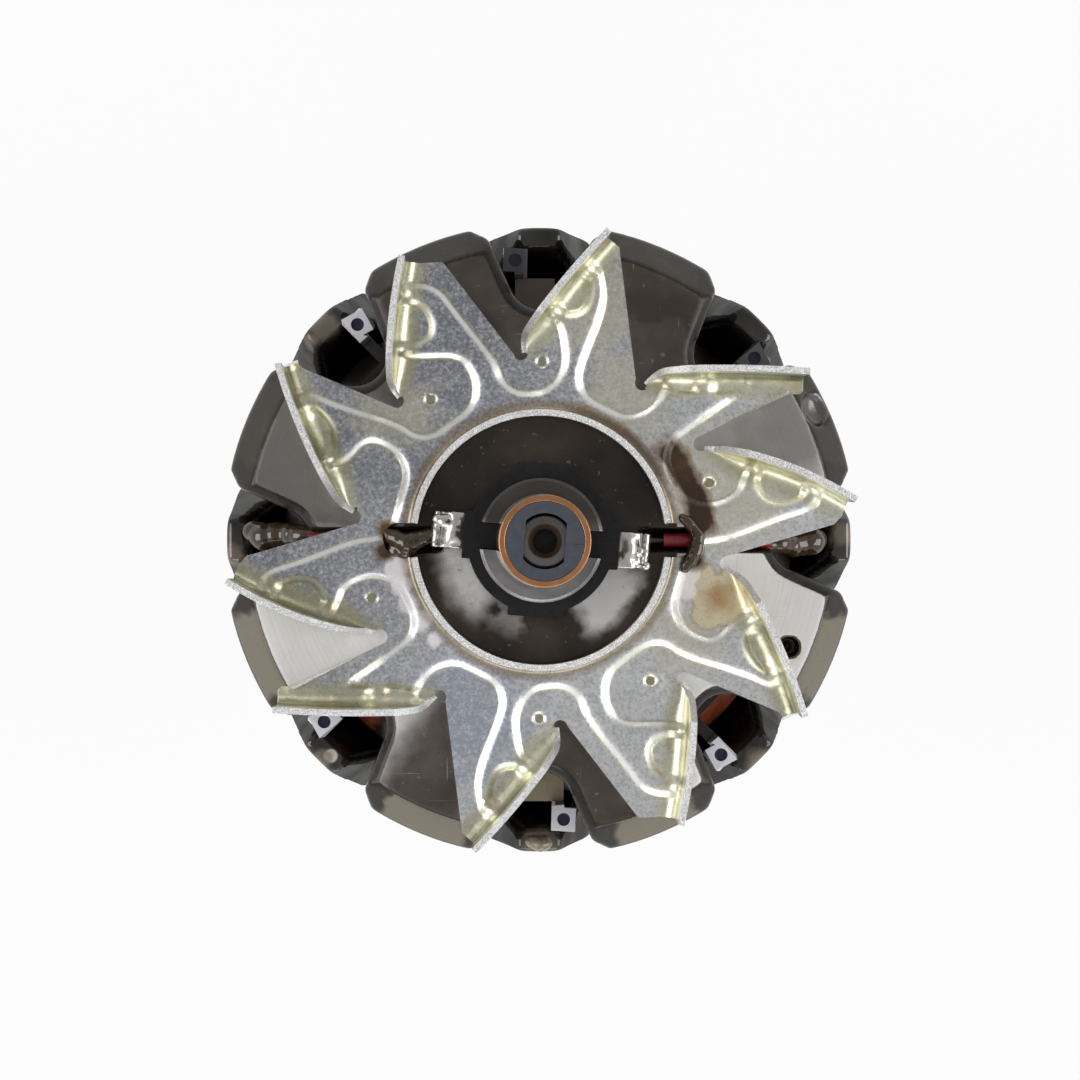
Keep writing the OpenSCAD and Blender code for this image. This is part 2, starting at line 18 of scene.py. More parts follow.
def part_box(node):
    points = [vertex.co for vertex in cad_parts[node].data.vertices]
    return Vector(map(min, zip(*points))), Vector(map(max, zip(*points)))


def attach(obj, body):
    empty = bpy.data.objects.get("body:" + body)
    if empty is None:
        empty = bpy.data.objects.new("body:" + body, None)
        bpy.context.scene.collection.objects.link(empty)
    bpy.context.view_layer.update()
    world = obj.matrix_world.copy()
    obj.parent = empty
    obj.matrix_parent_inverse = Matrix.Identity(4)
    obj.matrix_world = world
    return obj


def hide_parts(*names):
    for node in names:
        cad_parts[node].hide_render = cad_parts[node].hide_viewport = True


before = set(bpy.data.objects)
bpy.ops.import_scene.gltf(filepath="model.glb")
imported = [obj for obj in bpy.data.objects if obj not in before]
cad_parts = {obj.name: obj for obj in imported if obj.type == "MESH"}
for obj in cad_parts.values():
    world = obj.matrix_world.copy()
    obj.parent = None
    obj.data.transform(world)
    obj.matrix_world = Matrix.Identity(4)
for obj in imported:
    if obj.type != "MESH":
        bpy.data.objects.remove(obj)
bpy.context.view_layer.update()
scene = bpy.context.scene
MM = 0.001


def node_box(node):
    """The lowest and highest corners of a CAD node, in millimetres."""
    low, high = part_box(node)
    return np.array(low) / MM, np.array(high) / MM


REAR_FACE = node_box("rear_claw_pole")[1][2]
FRONT_FACE = node_box("front_claw_pole")[0][2]
ROTOR_R = max(node_box("front_claw_pole")[1][:2])
SHAFT_TOP = node_box("shaft")[1][2]
FINGER_TOP = node_box("front_claw_pole")[1][2]
print(f"claw faces at {FRONT_FACE:.1f} and {REAR_FACE:.1f} mm, rotor radius {ROTOR_R:.1f} mm")

# %% [markdown]
# ## Small helpers for node trees
# Long chains of Math nodes are hard to read. `Value` wraps a node's output so that ordinary Python
# arithmetic adds the Math nodes. `Graph` holds one node tree and adds any other node through a single
# method: the node's type, its settings, and what goes into its sockets.

# %% Arithmetic on sockets


class Value:
    def __init__(self, graph, socket):
        self.graph = graph
        self.socket = socket

    def math(self, operation, *terms):
        return self.graph.node("ShaderNodeMath", {"operation": operation}, dict(enumerate(terms)))

    def __add__(self, other):
        return self.math("ADD", self, other)

    def __radd__(self, other):
        return self.math("ADD", other, self)

    def __sub__(self, other):
        return self.math("SUBTRACT", self, other)

    def __rsub__(self, other):
        return self.math("SUBTRACT", other, self)

    def __mul__(self, other):
        return self.math("MULTIPLY", self, other)

    def __rmul__(self, other):
        return self.math("MULTIPLY", other, self)

    def __truediv__(self, other):
        return self.math("DIVIDE", self, other)

    def __abs__(self):
        return self.math("ABSOLUTE", self)

    def largest(self, other):
        return self.math("MAXIMUM", self, other)


# %% One node tree


class Graph:
    def __init__(self, tree):
        self.tree = tree

    def node(self, kind, settings=None, sockets=None, out=0):
        made = self.tree.nodes.new(kind)
        for key, value in (settings or {}).items():
            setattr(made, key, value)
        for key, value in (sockets or {}).items():
            if isinstance(value, Value):
                self.tree.links.new(value.socket, made.inputs[key])
            else:
                made.inputs[key].default_value = value
        return Value(self, made.outputs[out])

    def vector(self, operation, first, second, out="Vector"):
        return self.node("ShaderNodeVectorMath", {"operation": operation}, {0: first, 1: second}, out)

    def part(self, vector, axis):
        return self.node("ShaderNodeSeparateXYZ", sockets={0: vector}, out=axis)

    def step(self, value, start, end, low=0.0, high=1.0):
        """A soft step: `low` up to `start`, `high` from `end`."""
        sockets = {"Value": value, "From Min": start, "From Max": end, "To Min": low, "To Max": high}
        return self.node("ShaderNodeMapRange", {"interpolation_type": "SMOOTHSTEP"}, sockets)


print("socket arithmetic is ready")

# %% [markdown]
# A `Finish` is the graph of one material. It knows a few places that most finishes ask for: the point on
# the object, its distance from the shaft, how far the surface faces up, and how near it is to a spot. A
# painter works in coats, and so does `layers`: each coat is a mask and a colour over what lies below.

# %% One material


class Finish(Graph):
    def __init__(self, name, **constants):
        self.material = bpy.data.materials.new(name)
        self.material.use_nodes = True
        super().__init__(self.material.node_tree)
        self.shader = self.tree.nodes["Principled BSDF"]
        for socket, value in constants.items():
            self.shader.inputs[socket.replace("_", " ")].default_value = value
        self.place = self.node("ShaderNodeTexCoord", out="Object")
        self.x, self.y, self.z = (self.part(self.place, axis) for axis in "XYZ")
        self.flat = self.vector("MULTIPLY", self.place, (1, 1, 0))
        self.radius = self.vector("LENGTH", self.flat, (0, 0, 0), "Value")
        self.up = self.part(self.node("ShaderNodeNewGeometry", out="Normal"), "Z")
        self.ragged = self.grain(330, 3) - 0.5

    def grain(self, scale, detail=2, roughness=0.5, stretch=None):
        vector = self.vector("MULTIPLY", self.place, stretch) if stretch else self.place
        sockets = {"Vector": vector, "Scale": scale, "Detail": detail, "Roughness": roughness}
        return self.node("ShaderNodeTexNoise", sockets=sockets)

    def rings(self, scale, detail):
        """Noise that changes only with the distance from the shaft, as tool marks do."""
        sockets = {"W": self.radius, "Scale": scale, "Detail": detail}
        return self.node("ShaderNodeTexNoise", {"noise_dimensions": "1D"}, sockets)

    def fade(self, value, start, end):
        """A soft step from 0 to 1 between two places in mm."""
        return self.step(value, start * MM, end * MM)

    def near(self, x, y, reach, soft=1.0, fray=1.6):
        """1 within `reach` mm of a spot on the face, with an edge `soft` mm wide that frays a little."""
        away = self.vector("DISTANCE", self.flat, (x * MM, y * MM, 0), "Value")
        return self.fade(away + self.ragged * (fray * soft * MM), reach + soft, reach)

    def near_any(self, spots):
        mask = self.near(*spots[0])
        for spot in spots[1:]:
            mask = mask.largest(self.near(*spot))
        return mask

    def sector(self, degrees, half, soft, fray=0.04):
        """1 within `half` degrees of a direction from the shaft, fading over `soft` more."""
        way = (math.cos(math.radians(degrees)), math.sin(math.radians(degrees)), 0)
        along = self.vector("DOT_PRODUCT", self.flat, way, "Value") / self.radius + self.ragged * fray
        return self.step(along, math.cos(math.radians(half + soft)), math.cos(math.radians(half)))

    def blend(self, factor, first, second):
        first, second = (c if isinstance(c, Value) else (*c, 1) for c in (first, second))
        settings = {"data_type": "RGBA", "blend_type": "MIX"}
        return self.node("ShaderNodeMix", settings, {0: factor, 6: first, 7: second}, out=2)

    def layers(self, colour, *coats):
        """Lay coats, each a mask and a colour, over a colour one after another."""
        for mask, coat in coats:
            colour = self.blend(mask, colour, coat)
        return colour

    def bump(self, height, distance):
        sockets = {"Height": height, "Distance": distance * MM}
        self.set("Normal", self.node("ShaderNodeBump", sockets=sockets))

    def gloss(self, noise_value, low, high):
        """Roughness from `low` to `high` over the middle of a noise."""
        self.set("Roughness", self.step(noise_value, 0.3, 0.7, low, high))

    def set(self, socket, value):
        self.tree.links.new(value.socket, self.shader.inputs[socket])


print("a finish lays coats over a colour")

# %% [markdown]
# ## Camera
# The photograph looks straight down the shaft from the slip-ring end, from about 0.6 m: the far claws
# look only a little smaller than the near ones. A long lens at that distance gives the same slight
# perspective. The shaft end sits a few pixels to the right of the rotor's middle, so the camera stands
# a little to the left and looks back at the middle of the claws.

# %% Place the camera
RIM_HEIGHT = REAR_FACE - 6
CAMERA_RISE = 606
SENSOR_WIDTH = 36
IMAGE_WIDTH = 1080
RIM_PIXELS = 317
EYE_LEFT = -9
EYE_UP = 2

camera_data = bpy.data.cameras.new("camera")
camera_data.sensor_width = SENSOR_WIDTH
camera_data.lens = SENSOR_WIDTH * CAMERA_RISE / (IMAGE_WIDTH * ROTOR_R / RIM_PIXELS)
camera = bpy.data.objects.new("camera", camera_data)
eye = Vector((EYE_LEFT, EYE_UP, RIM_HEIGHT + CAMERA_RISE)) * MM
ahead = (Vector((0, 0, RIM_HEIGHT)) * MM - eye).normalized()
right = ahead.cross(Vector((0, 1, 0))).normalized()
camera.matrix_world = Matrix((right, right.cross(ahead), -ahead)).transposed().to_4x4()
camera.location = eye
scene.collection.objects.link(camera)
scene.camera = camera
print(f"lens {camera_data.lens:.0f} mm at {CAMERA_RISE} mm")

# %% [markdown]
# ## Light and floor
# The rotor was photographed in a white tent lit from the left and the right. Turned metal shows that
# plainly: its faces are bright at the left and right of the shaft and dark above and below it. So two
# square soft lamps stand at the sides and a weaker one in front. The world is a dome that is bright near
# the horizon and dim overhead, because flat sheet facing the camera is only a middle grey.

# %% Soft lamps
scene.view_settings.view_transform = "Standard"
MIDDLE = (0, 0, RIM_HEIGHT * MM)


def soft_lamp(name, place, width, height, watts):
    data = bpy.data.lights.new(name, "AREA")
    data.shape = "RECTANGLE"
    data.size = width
    data.size_y = height
    data.energy = watts
    lamp = bpy.data.objects.new(name, data)
    lamp.location = place
    lamp.rotation_euler = (Vector(MIDDLE) - Vector(place)).to_track_quat("-Z", "Y").to_euler()
    lamp.visible_camera = False
    scene.collection.objects.link(lamp)


soft_lamp("left_lamp", (-0.74, -0.06, 0.54), width=0.66, height=0.50, watts=3.4)
soft_lamp("right_lamp", (0.74, -0.06, 0.54), width=0.66, height=0.50, watts=3.4)
soft_lamp("front_lamp", (0.0, -0.80, 0.44), width=0.80, height=0.24, watts=1.4)
print("three soft lamps")

# %% The dome
world = bpy.data.worlds.new("tent")
scene.world = world
world.use_nodes = True
tent = Graph(world.node_tree)
towards = tent.node("ShaderNodeTexCoord", out="Generated")
level = tent.step(tent.part(towards, "Z"), 0.2, 0.92, 0.78, 0.46) * (0.9 - 0.2 * tent.part(towards, "Y"))
tent.tree.links.new(level.socket, world.node_tree.nodes["Background"].inputs["Color"])
print("a grey dome")

# %% The floor
FLOOR_HALF = 3.0
floor_mesh = bpy.data.meshes.new("floor")
corners = [(x * FLOOR_HALF, y * FLOOR_HALF, 0) for x, y in ((-1, -1), (1, -1), (1, 1), (-1, 1))]
floor_mesh.from_pydata(corners, [], [(0, 1, 2, 3)])
floor = bpy.data.objects.new("floor", floor_mesh)
scene.collection.objects.link(floor)
paper = Finish("pale_paper", Roughness=0.9)
paper.set("Base Color", paper.blend(paper.grain(8, 2), (0.82, 0.82, 0.82), (0.86, 0.86, 0.86)))
seen = paper.node("ShaderNodeLightPath", out="Is Camera Ray")
for ray in ("Is Glossy Ray", "Is Transmission Ray"):
    seen = seen.largest(paper.node("ShaderNodeLightPath", out=ray))
glow = paper.node("ShaderNodeEmission", sockets={"Color": (1, 1, 1, 1), "Strength": 1.0})
lit = Value(paper, paper.shader.outputs[0])
paper_mix = paper.node("ShaderNodeMixShader", sockets={0: seen * 0.88, 1: lit, 2: glow})
paper.tree.links.new(paper_mix.socket, paper.tree.nodes["Material Output"].inputs["Surface"])
floor_mesh.materials.append(paper.material)
print("floor laid")

# %% [markdown]
# ## Zinc-plated sheet
# The fans are stamped from thin steel and zinc plated. New zinc is a light grey with a fine grain, and a
# clear passivated film turns it olive-yellow where it gathers in the inner bends. The sheet is painted
# darker at the upper left of the picture and paler at the lower right: painted shading. Each point of the
# mesh carries two numbers that the finish reads: `bend`, high in the inner corners, and a second one, high
# on the slopes of the ribs and on the walls of the blades and collar, that paints a highlight there.

# %% The zinc finish
COLLAR_R = 21.45
LOWER_RIGHT = (0.75, -0.66, 0)
zinc = Finish("zinc_sheet")
crystals = zinc.grain(1700, 4, 0.75)
clouds = zinc.grain(75, 4, 0.6)
bend = zinc.node("ShaderNodeAttribute", {"attribute_name": "bend"}, out="Fac")
# The second number on the mesh paints a highlight on the slopes and walls of the sheet.
painted_highlight = zinc.node("ShaderNodeAttribute", {"attribute_name": "painted_highlight"}, out="Fac")
# Painted shading: the sheet is darker at the upper left of the picture and paler at the lower right.
slant = zinc.vector("DOT_PRODUCT", zinc.flat, LOWER_RIGHT, "Value") + zinc.ragged * (10 * MM)
across = zinc.fade(slant, -36, 28)
warm = zinc.near_any([(9, 38, 3, 9), (15, 25, 3, 8), (30, 8, 6, 8), (24, -16, 2, 8), (-24, 22, 2, 8)])
film_tone = zinc.blend(zinc.step(clouds, 0.4, 0.6), (0.50, 0.47, 0.27), (0.74, 0.72, 0.50))
plated = zinc.layers(
    zinc.blend(across, (0.38, 0.39, 0.43), (0.86, 0.87, 0.85)),
    (zinc.near(-13, -30, 5, 12) * 0.7, (0.44, 0.50, 0.64)),
    (zinc.step(clouds, 0.40, 0.70, 0, 0.35), (0.80, 0.82, 0.86)),
    (zinc.step(crystals, 0.48, 0.68, 0, 0.6), (0.96, 0.97, 1.0)),
    (zinc.step(crystals, 0.56, 0.34, 0, 0.7), zinc.blend(across, (0.24, 0.25, 0.29), (0.56, 0.58, 0.62))),
    (warm * 0.55, (0.86, 0.81, 0.62)),
    # Painted highlight on the slopes of the ribs and on the walls.
    (zinc.step(painted_highlight, 0.3, 0.9, 0, 0.9), (0.97, 0.97, 0.95)),
    (zinc.step(bend, 0.1, 0.95, 0, 0.8), film_tone),
    (zinc.step(bend, 1.2, 1.8, 0, 0.8), (0.40, 0.39, 0.29)),
)
print("zinc has", len(zinc.tree.nodes), "nodes so far")

# %% [markdown]
# Resin from the winding has run over the sheet beside the lead notches. The brown ring round the foot of
# the collar is partly pooled resin and partly painted shade in the corner, and the milky pools beside the
# collar are partly pale varnish and partly a painted reflection.
# Each stain is a spot on the face with a reach and a soft edge in mm, and the longest run is a part of a
# circle. Where a soft edge crosses one half, `mask * (1 - mask)` is highest, and that gives the dark rim
# of a dried puddle.

# %% Stains, painted shade and painted reflections on the zinc
RUN_R = 25.2
run_middle = (2 * MM, -2 * MM, 0)
from_run = zinc.vector("DISTANCE", zinc.flat, run_middle, "Value") + zinc.ragged * (2.4 * MM)
brown_run = zinc.fade(abs(from_run - RUN_R * MM), 3.0, 1.5) * zinc.sector(21, 15, 6)
# The ring round the collar's foot: partly pooled resin, partly painted shade in the corner.
foot = zinc.fade(zinc.radius + zinc.ragged * (1.6 * MM), COLLAR_R + 2.4, COLLAR_R + 1.0)
foot = foot * zinc.fade(zinc.z, REAR_FACE + 4.5, REAR_FACE + 3)
brown = brown_run.largest(foot * (0.36 + zinc.near(14, 17, 6, 9) * 0.5))
notch_spots = [(-25.2, 1.4, 1.0, 1.4), (-25.8, -1.6, 0.9, 1.4), (25.4, -3.0, 1.2, 1.5), (26.6, 2.6, 1.2, 1.4)]
brown = brown.largest(zinc.near_any(notch_spots))
amber_spots = [(26.6, -6.8, 2.4, 1.2), (29.4, -9.8, 3.8, 1.2), (27.6, -12.2, 2.2), (32.0, -6.4, 2.0, 1.4)]
amber = zinc.near_any(amber_spots)
# Milky pools by the collar's foot at the lower left and right: partly pale varnish, partly a painted
# reflection.
milky_glare_spots = [(-23.8, -4.6, 1.4), (-23.0, -7.4, 1.3), (-21.8, -10.4, 1.2), (-19.8, -13.4, 1.2)]
milky_glare_spots += [(-17.6, -16.4, 0.8), (24.6, -5.6, 1.2), (24.0, -8.4, 1.0), (22.4, -11.2, 0.8)]
milky_pool_glare = zinc.near_any(milky_glare_spots)
resin_tone = zinc.blend(zinc.step(clouds, 0.4, 0.65), (0.036, 0.016, 0.005), (0.12, 0.062, 0.022))
stained = zinc.layers(
    plated,
    (amber * 0.8, (0.80, 0.70, 0.44)),
    (amber * (1 - amber) * 1.5, (0.42, 0.26, 0.10)),
    (zinc.near(29.6, -9.8, 0.4, 3.4) * 0.75, (0.50, 0.24, 0.06)),
    (milky_pool_glare * 0.9, (0.95, 0.90, 0.92)),
    (brown, resin_tone),
    (brown * (1 - brown) * 1.5, (0.26, 0.155, 0.06)),
)
zinc.set("Base Color", stained)
zinc.set("Metallic", 1.0 - brown - amber * 0.5 - milky_pool_glare * 0.75)
zinc.set("Roughness", zinc.step(crystals, 0.25, 0.75, 0.24, 0.40) - brown * 0.06)
zinc.set("Coat Weight", (amber + milky_pool_glare) * 0.4)
zinc.bump(crystals * 0.4 + zinc.grain(420) * 1.6 + clouds * 8.0, 0.022)
print("zinc is stained")

# %% [markdown]
# The press shears the sheet, and the cut face is torn, bright and free of film. Solidify makes that face
# as a rim of its own, so a second material is enough for it.

# %% The sheared edge of the sheet
sheared = Finish("sheared_edge", Metallic=1.0, Roughness=0.38)
tears = sheared.grain(4200, 2, 0.7)
torn = sheared.blend(sheared.step(tears, 0.35, 0.6), (0.58, 0.58, 0.57), (0.97, 0.97, 0.97))
sheared.set("Base Color", torn)
sheared.bump(tears, 0.14)
print("zinc and sheared edge are ready")

# %% [markdown]
# ## The stamped fan
# A press makes the real fan from a flat blank: it cuts the slots, presses the ribs, draws up the collar
# and folds the blades. The mesh follows the same order. A constrained Delaunay triangulation fills the
# blank's outline with small triangles, a distance to the pressed zones lifts the ribs, and the collar
# and the blades are swept strips that share their first row with the blank. Solidify gives the sheet.
# The ten blades are unevenly spaced to keep the fan quiet, and half a turn repeats the pattern. No two
# neighbours leave their slots alike, so each blade has a fold of its own at the root.

# %% The fan's own sizes
SHEET = 1.05
EMBOSS = 1.0
SLOT_R = COLLAR_R + 8.25
SLOT_ROUND = 1.2
FAN_TIP_R = ROTOR_R - 1.4
FAN_CORNER_R = FAN_TIP_R - 2.9
BLADE_MID = 1.9
ROOT_FOLD = [0.6, 2.4, 2.2, 1.9, 1.5]
FOLD = 3.6
COLLAR_FOLD = 1.5
COLLAR_MID_R = COLLAR_R - SHEET / 2
COLLAR_H = 7.0
NOTCH_HALF = 2.8
NOTCH_R = COLLAR_R + 4.5
# Half a turn of the pattern, in degrees from +X, with the extra depth of each slot in mm
SLOT_A = [31, 57.1, 96, 135.9, 172.9]
SLOT_EXTRA = [0, 0, 0.2, 2.2, 0.2]
TIP_A = [8.1, 32.9, 78.4, 116.8, 146.9]
CORNER_A = [3.1, 30.7, 74.3, 109.4, 144.2]
POCKET_A = [12.5, 50.5, 83, 113, 149]
STRIP_A = [36.2, 76, 103.5, 140, 179]
WELD_A = [18.8, 89.5, 128]
WELD_RIM_R = 1.7
WELD_RIM_H = 0.16
WELD_PIT_R = 1.2
WELD_PIT_H = 0.35
WELD_SOFT = 0.35
WELD_REACH = 2.4
REAR_BLADE_H = 12.0
FRONT_BLADE_H = 9.0
BLADES = 10


def turn(values, i):
    return values[i % 5] + 180 * (i // 5)


def polar(radius, degrees):
    return radius * np.array([math.cos(math.radians(degrees)), math.sin(math.radians(degrees))])


def unit(v):
    return v / np.hypot(*v)


def left_of(v):
    return np.array([-v[1], v[0]])


def slot_end(i):
    return SLOT_R + SLOT_EXTRA[i % 5]


def slot_side(i, side):
    swing = side * math.degrees(math.asin(SLOT_ROUND / slot_end(i)))
    return polar(slot_end(i) + SLOT_ROUND, turn(SLOT_A, i) + swing)


def fan_tip(i):
    return polar(FAN_TIP_R, turn(TIP_A, i))


def fan_corner(i):
    return polar(FAN_CORNER_R, turn(CORNER_A, i))


def blade_at(i, t, inset):
    """A point on blade i: t runs from its slot to its tip, inset goes into the arm."""
    foot = slot_side(i, -1)
    root = SHEET / 2 + ROOT_FOLD[i % 5]
    start = foot + left_of(unit(fan_tip(i) - foot)) * root
    run = fan_tip(i) - start
    bow = BLADE_MID - root / 2
    return start + run * t + left_of(unit(run)) * (4 * bow * t * (1 - t) - inset)


def fold_at(i, t):
    """The radius of blade i's fold, tighter at the slot and at the tip."""
    x = min(1, t / 0.3)
    return ROOT_FOLD[i % 5] + (FOLD - ROOT_FOLD[i % 5]) * x * x * (3 - 2 * x) - 0.7 * t * t


print(f"fan reaches {FAN_TIP_R:.1f} mm")

# %% Outlines of the blank
STEP = 0.5
BLADE_STEPS = 60
COLLAR_STEPS = 96


def straight(start, end):
    count = max(2, int(np.hypot(*(end - start)) / STEP))
    return [start + (end - start) * k / count for k in range(count)]


def blank_outline():
    loop = []
    for i in range(BLADES):
        loop += straight(slot_side(i - 1, 1), fan_corner(i))
        loop += straight(fan_corner(i), blade_at(i, 1, SHEET / 2 + fold_at(i, 1)))
        steps = [1 - k / BLADE_STEPS for k in range(BLADE_STEPS + 1)]
        loop += [blade_at(i, t, SHEET / 2 + fold_at(i, t)) for t in steps]
        middle = polar(slot_end(i) + SLOT_ROUND, turn(SLOT_A, i))
        loop += [middle + polar(SLOT_ROUND, turn(SLOT_A, i) - 90 - 18 * k) for k in range(10)]
    return np.array(loop)


def collar_angles(radius, notched):
    if not notched:
        return [np.linspace(0, 360, 2 * COLLAR_STEPS + 1)]
    gap = math.degrees(math.asin(NOTCH_HALF / radius))
    return [np.linspace(gap + s, 180 - gap + s, COLLAR_STEPS) for s in (0, 180)]


def bore_outline(radius, notched):
    loop = []
    for s, angles in enumerate(collar_angles(radius, notched)):
        loop += [polar(radius, a) for a in angles]
        if notched:
            middle = polar(NOTCH_R - NOTCH_HALF, 180 * (s + 1))
            loop += straight(loop[-1], middle + polar(NOTCH_HALF, 180 * s + 90))[1:]
            loop += [middle + polar(NOTCH_HALF, 180 * s + 90 + 15 * k) for k in range(12)]
            side = polar(radius, 180 * (s + 1) + math.degrees(math.asin(NOTCH_HALF / radius)))
            loop += straight(middle + polar(NOTCH_HALF, 180 * s + 270), side)
    return np.array(loop if notched else loop[:-1])


print("blank has", len(blank_outline()), "outline points")

# %% [markdown]
# The pressed zones are closed curves. Cutting the corners of a rough polygon a few times (Chaikin's
# method) rounds it like the press tool, and the signed distance to that curve tells how far up the
# slope of the rib a point lies.

# %% Pressed zones
STRIP_W = 3.0
POCKET_R = SLOT_R - 5
POCKET_DEEP = [6.2, 4.4, 5.6, 6.8, 4.8]


def rounded(loop, passes=3):
    for _ in range(passes):
        after = np.roll(loop, -1, axis=0)
        loop = np.stack([loop * 0.75 + after * 0.25, loop * 0.25 + after * 0.75], axis=1).reshape(-1, 2)
    return loop


def low_zone(i):
    """Where the sheet lies on the claws round slot i."""
    pocket = turn(POCKET_A, i)
    strip = turn(STRIP_A, i)
    inward = unit(slot_side(i, 1) - fan_corner(i + 1))
    into_arm = -left_of(inward)
    points = [
        blade_at(i, 0.34, -3),
        blade_at(i, 0.33, 1.4),
        blade_at(i, 0.29, 4.4),
        polar(SLOT_R + 3.6, pocket + 1.0),
        polar(SLOT_R, pocket - 0.6),
        polar(SLOT_R - 2.9, pocket + 0.8),
        polar(POCKET_R, pocket + 5.4),
        polar(POCKET_R - 0.3, (pocket + strip) / 2),
        polar(POCKET_R, strip - 4.4),
        polar(SLOT_R - 2.8, strip + 0.2),
        polar(SLOT_R + 0.6, strip + 0.4),
        fan_corner(i + 1) + inward * 8 + into_arm * (STRIP_W + 0.3),
        fan_corner(i + 1) + inward * 2.5 + into_arm * (STRIP_W + 0.2),
        blade_at(i + 1, 0.84, 1.5),
        blade_at(i + 1, 0.84, -3),
        fan_tip(i + 1) * 1.06,
        fan_corner(i + 1) * 1.06,
        slot_side(i, 1),
    ]
    return rounded(np.array(points))


def blade_pocket(i):
    """The D-shaped pocket pressed against blade i."""
    swell = [0.5, 0.88, 1.0, 1.0, 0.93, 0.8, 0.55]
    arc = [blade_at(i, 0.38 + 0.33 * k / 6, POCKET_DEEP[i % 5] * share) for k, share in enumerate(swell)]
    return rounded(np.array([blade_at(i, 0.38, -3)] + arc + [blade_at(i, 0.71, -3)]))


def inside(points, loop):
    crossings = np.zeros(len(points), dtype=bool)
    for (x0, y0), (x1, y1) in zip(loop, np.roll(loop, -1, axis=0)):
        if y0 != y1:
            spans = (y0 > points[:, 1]) != (y1 > points[:, 1])
            reach = x0 + (points[:, 1] - y0) * (x1 - x0) / (y1 - y0)
            crossings ^= spans & (points[:, 0] < reach)
    return crossings


def distance(points, line, closed=True):
    ends = np.roll(line, -1, axis=0) if closed else line[1:]
    nearest = np.full(len(points), 1e9)
    for start, end in zip(line, ends):
        run = end - start
        along = np.clip((points - start) @ run / max(run @ run, 1e-12), 0, 1)
        nearest = np.minimum(nearest, np.hypot(*(points - start - along[:, None] * run).T))
    return nearest


zones = [low_zone(i) for i in range(BLADES)] + [blade_pocket(i) for i in range(BLADES)]
print(len(zones), "pressed zones")

# %% Lift of the ribs
SLOPE = 1.9
POCKET_SLOPE = 1.8


def smooth(x):
    x = np.clip(x, 0, 1)
    return x * x * (3 - 2 * x)


def rib_lift(points):
    """0 in the low zones and 1 on the ribs, with the slope between them."""
    lift = np.ones(len(points))
    for k, zone in enumerate(zones):
        slope = SLOPE if k < BLADES else POCKET_SLOPE
        close = np.all((points > zone.min(0) - SLOPE) & (points < zone.max(0) + SLOPE), axis=1)
        if close.any():
            near = points[close]
            away = distance(near, zone) * np.where(inside(near, zone), -1, 1)
            lift[close] = np.minimum(lift[close], smooth((away + 0.4) / slope))
    return lift


weld_spots = [polar(SLOT_R - 0.2, a + s) for s in (0, 180) for a in WELD_A]


def weld_mark(points):
    """A small crater with a raised rim at each weld."""
    rise = np.zeros(len(points))
    for spot_place in weld_spots:
        away = np.hypot(*(points - spot_place).T)
        rim = WELD_RIM_H * np.exp(-(((away - WELD_RIM_R) / WELD_SOFT) ** 2))
        rise += rim - WELD_PIT_H * smooth((WELD_PIT_R - away) / WELD_SOFT)
    return rise


def bend_tint(points, lift):
    """High at the foot of a slope and beside a blade."""
    tint = 0.95 * smooth(lift / 0.06) * (1 - smooth((lift - 0.1) / 0.3))
    tint += 0.3 * smooth((lift - 0.75) / 0.15) * (1 - smooth((lift - 0.93) / 0.07))
    for i in range(BLADES):
        line = np.array([blade_at(i, k / 12, SHEET / 2 + fold_at(i, k / 12)) for k in range(13)])
        close = np.all((points > line.min(0) - 5) & (points < line.max(0) + 5), axis=1)
        beside = np.exp(-((distance(points[close], line, False) / 1.6) ** 2))
        tint[close] = np.maximum(tint[close], 0.7 * beside)
    for spot_place in weld_spots:
        tint += 1.8 * smooth((1.25 - np.hypot(*(points - spot_place).T)) / 0.3)
    return tint


print("ribs rise", EMBOSS, "mm")

# %% Fill the blank with triangles
WELD_RINGS = (0.4, 0.75, 0.95, 1.1, 1.3, 1.5, 1.8, 2.2)


def blank_mesh(notched):
    """An even grid of points, closer round the welds, triangulated between the outlines."""
    edge_r = COLLAR_MID_R + COLLAR_FOLD
    outer = blank_outline()
    bore = bore_outline(edge_r, notched)
    span = np.arange(-ROTOR_R, ROTOR_R, STEP)
    rows = np.arange(-ROTOR_R, ROTOR_R, STEP * math.sqrt(3) / 2)
    grid = np.array([(x + STEP / 2 * (k % 2), y) for k, y in enumerate(rows) for x in span])
    reach = np.hypot(*grid.T)
    grid = grid[(reach < FAN_TIP_R) & (reach > edge_r)]
    grid = grid[inside(grid, outer) & ~inside(grid, bore)]
    room = np.minimum(distance(grid, outer), distance(grid, bore))
    grid = grid[room > STEP * 0.55]
    for place in weld_spots:
        grid = grid[np.hypot(*(grid - place).T) > WELD_REACH]
        rings = [place + polar(r, a) for r in WELD_RINGS for a in range(0, 360, 20)]
        grid = np.vstack([grid, [place], rings])
    points = np.vstack([outer, bore, grid])
    loops = [(k, (k + 1) % len(outer)) for k in range(len(outer))]
    loops += [(len(outer) + k, len(outer) + (k + 1) % len(bore)) for k in range(len(bore))]
    made = geometry.delaunay_2d_cdt([Vector(p) for p in points], loops, [], 0, 1e-6)
    flat = np.array([(v.x, v.y) for v in made[0]])
    triangles = np.array([f for f in made[2] if len(f) == 3])
    centres = flat[triangles].mean(axis=1)
    kept = inside(centres, outer) & ~inside(centres, bore)
    return flat, triangles[kept]


print(f"triangles of about {STEP} mm fill the blank")

# %% Fold the blades and draw the collar
FOLD_ROWS = 8
WALL_ROWS = 12
COLLAR_ROWS = 8
COLLAR_WALL_ROWS = 5


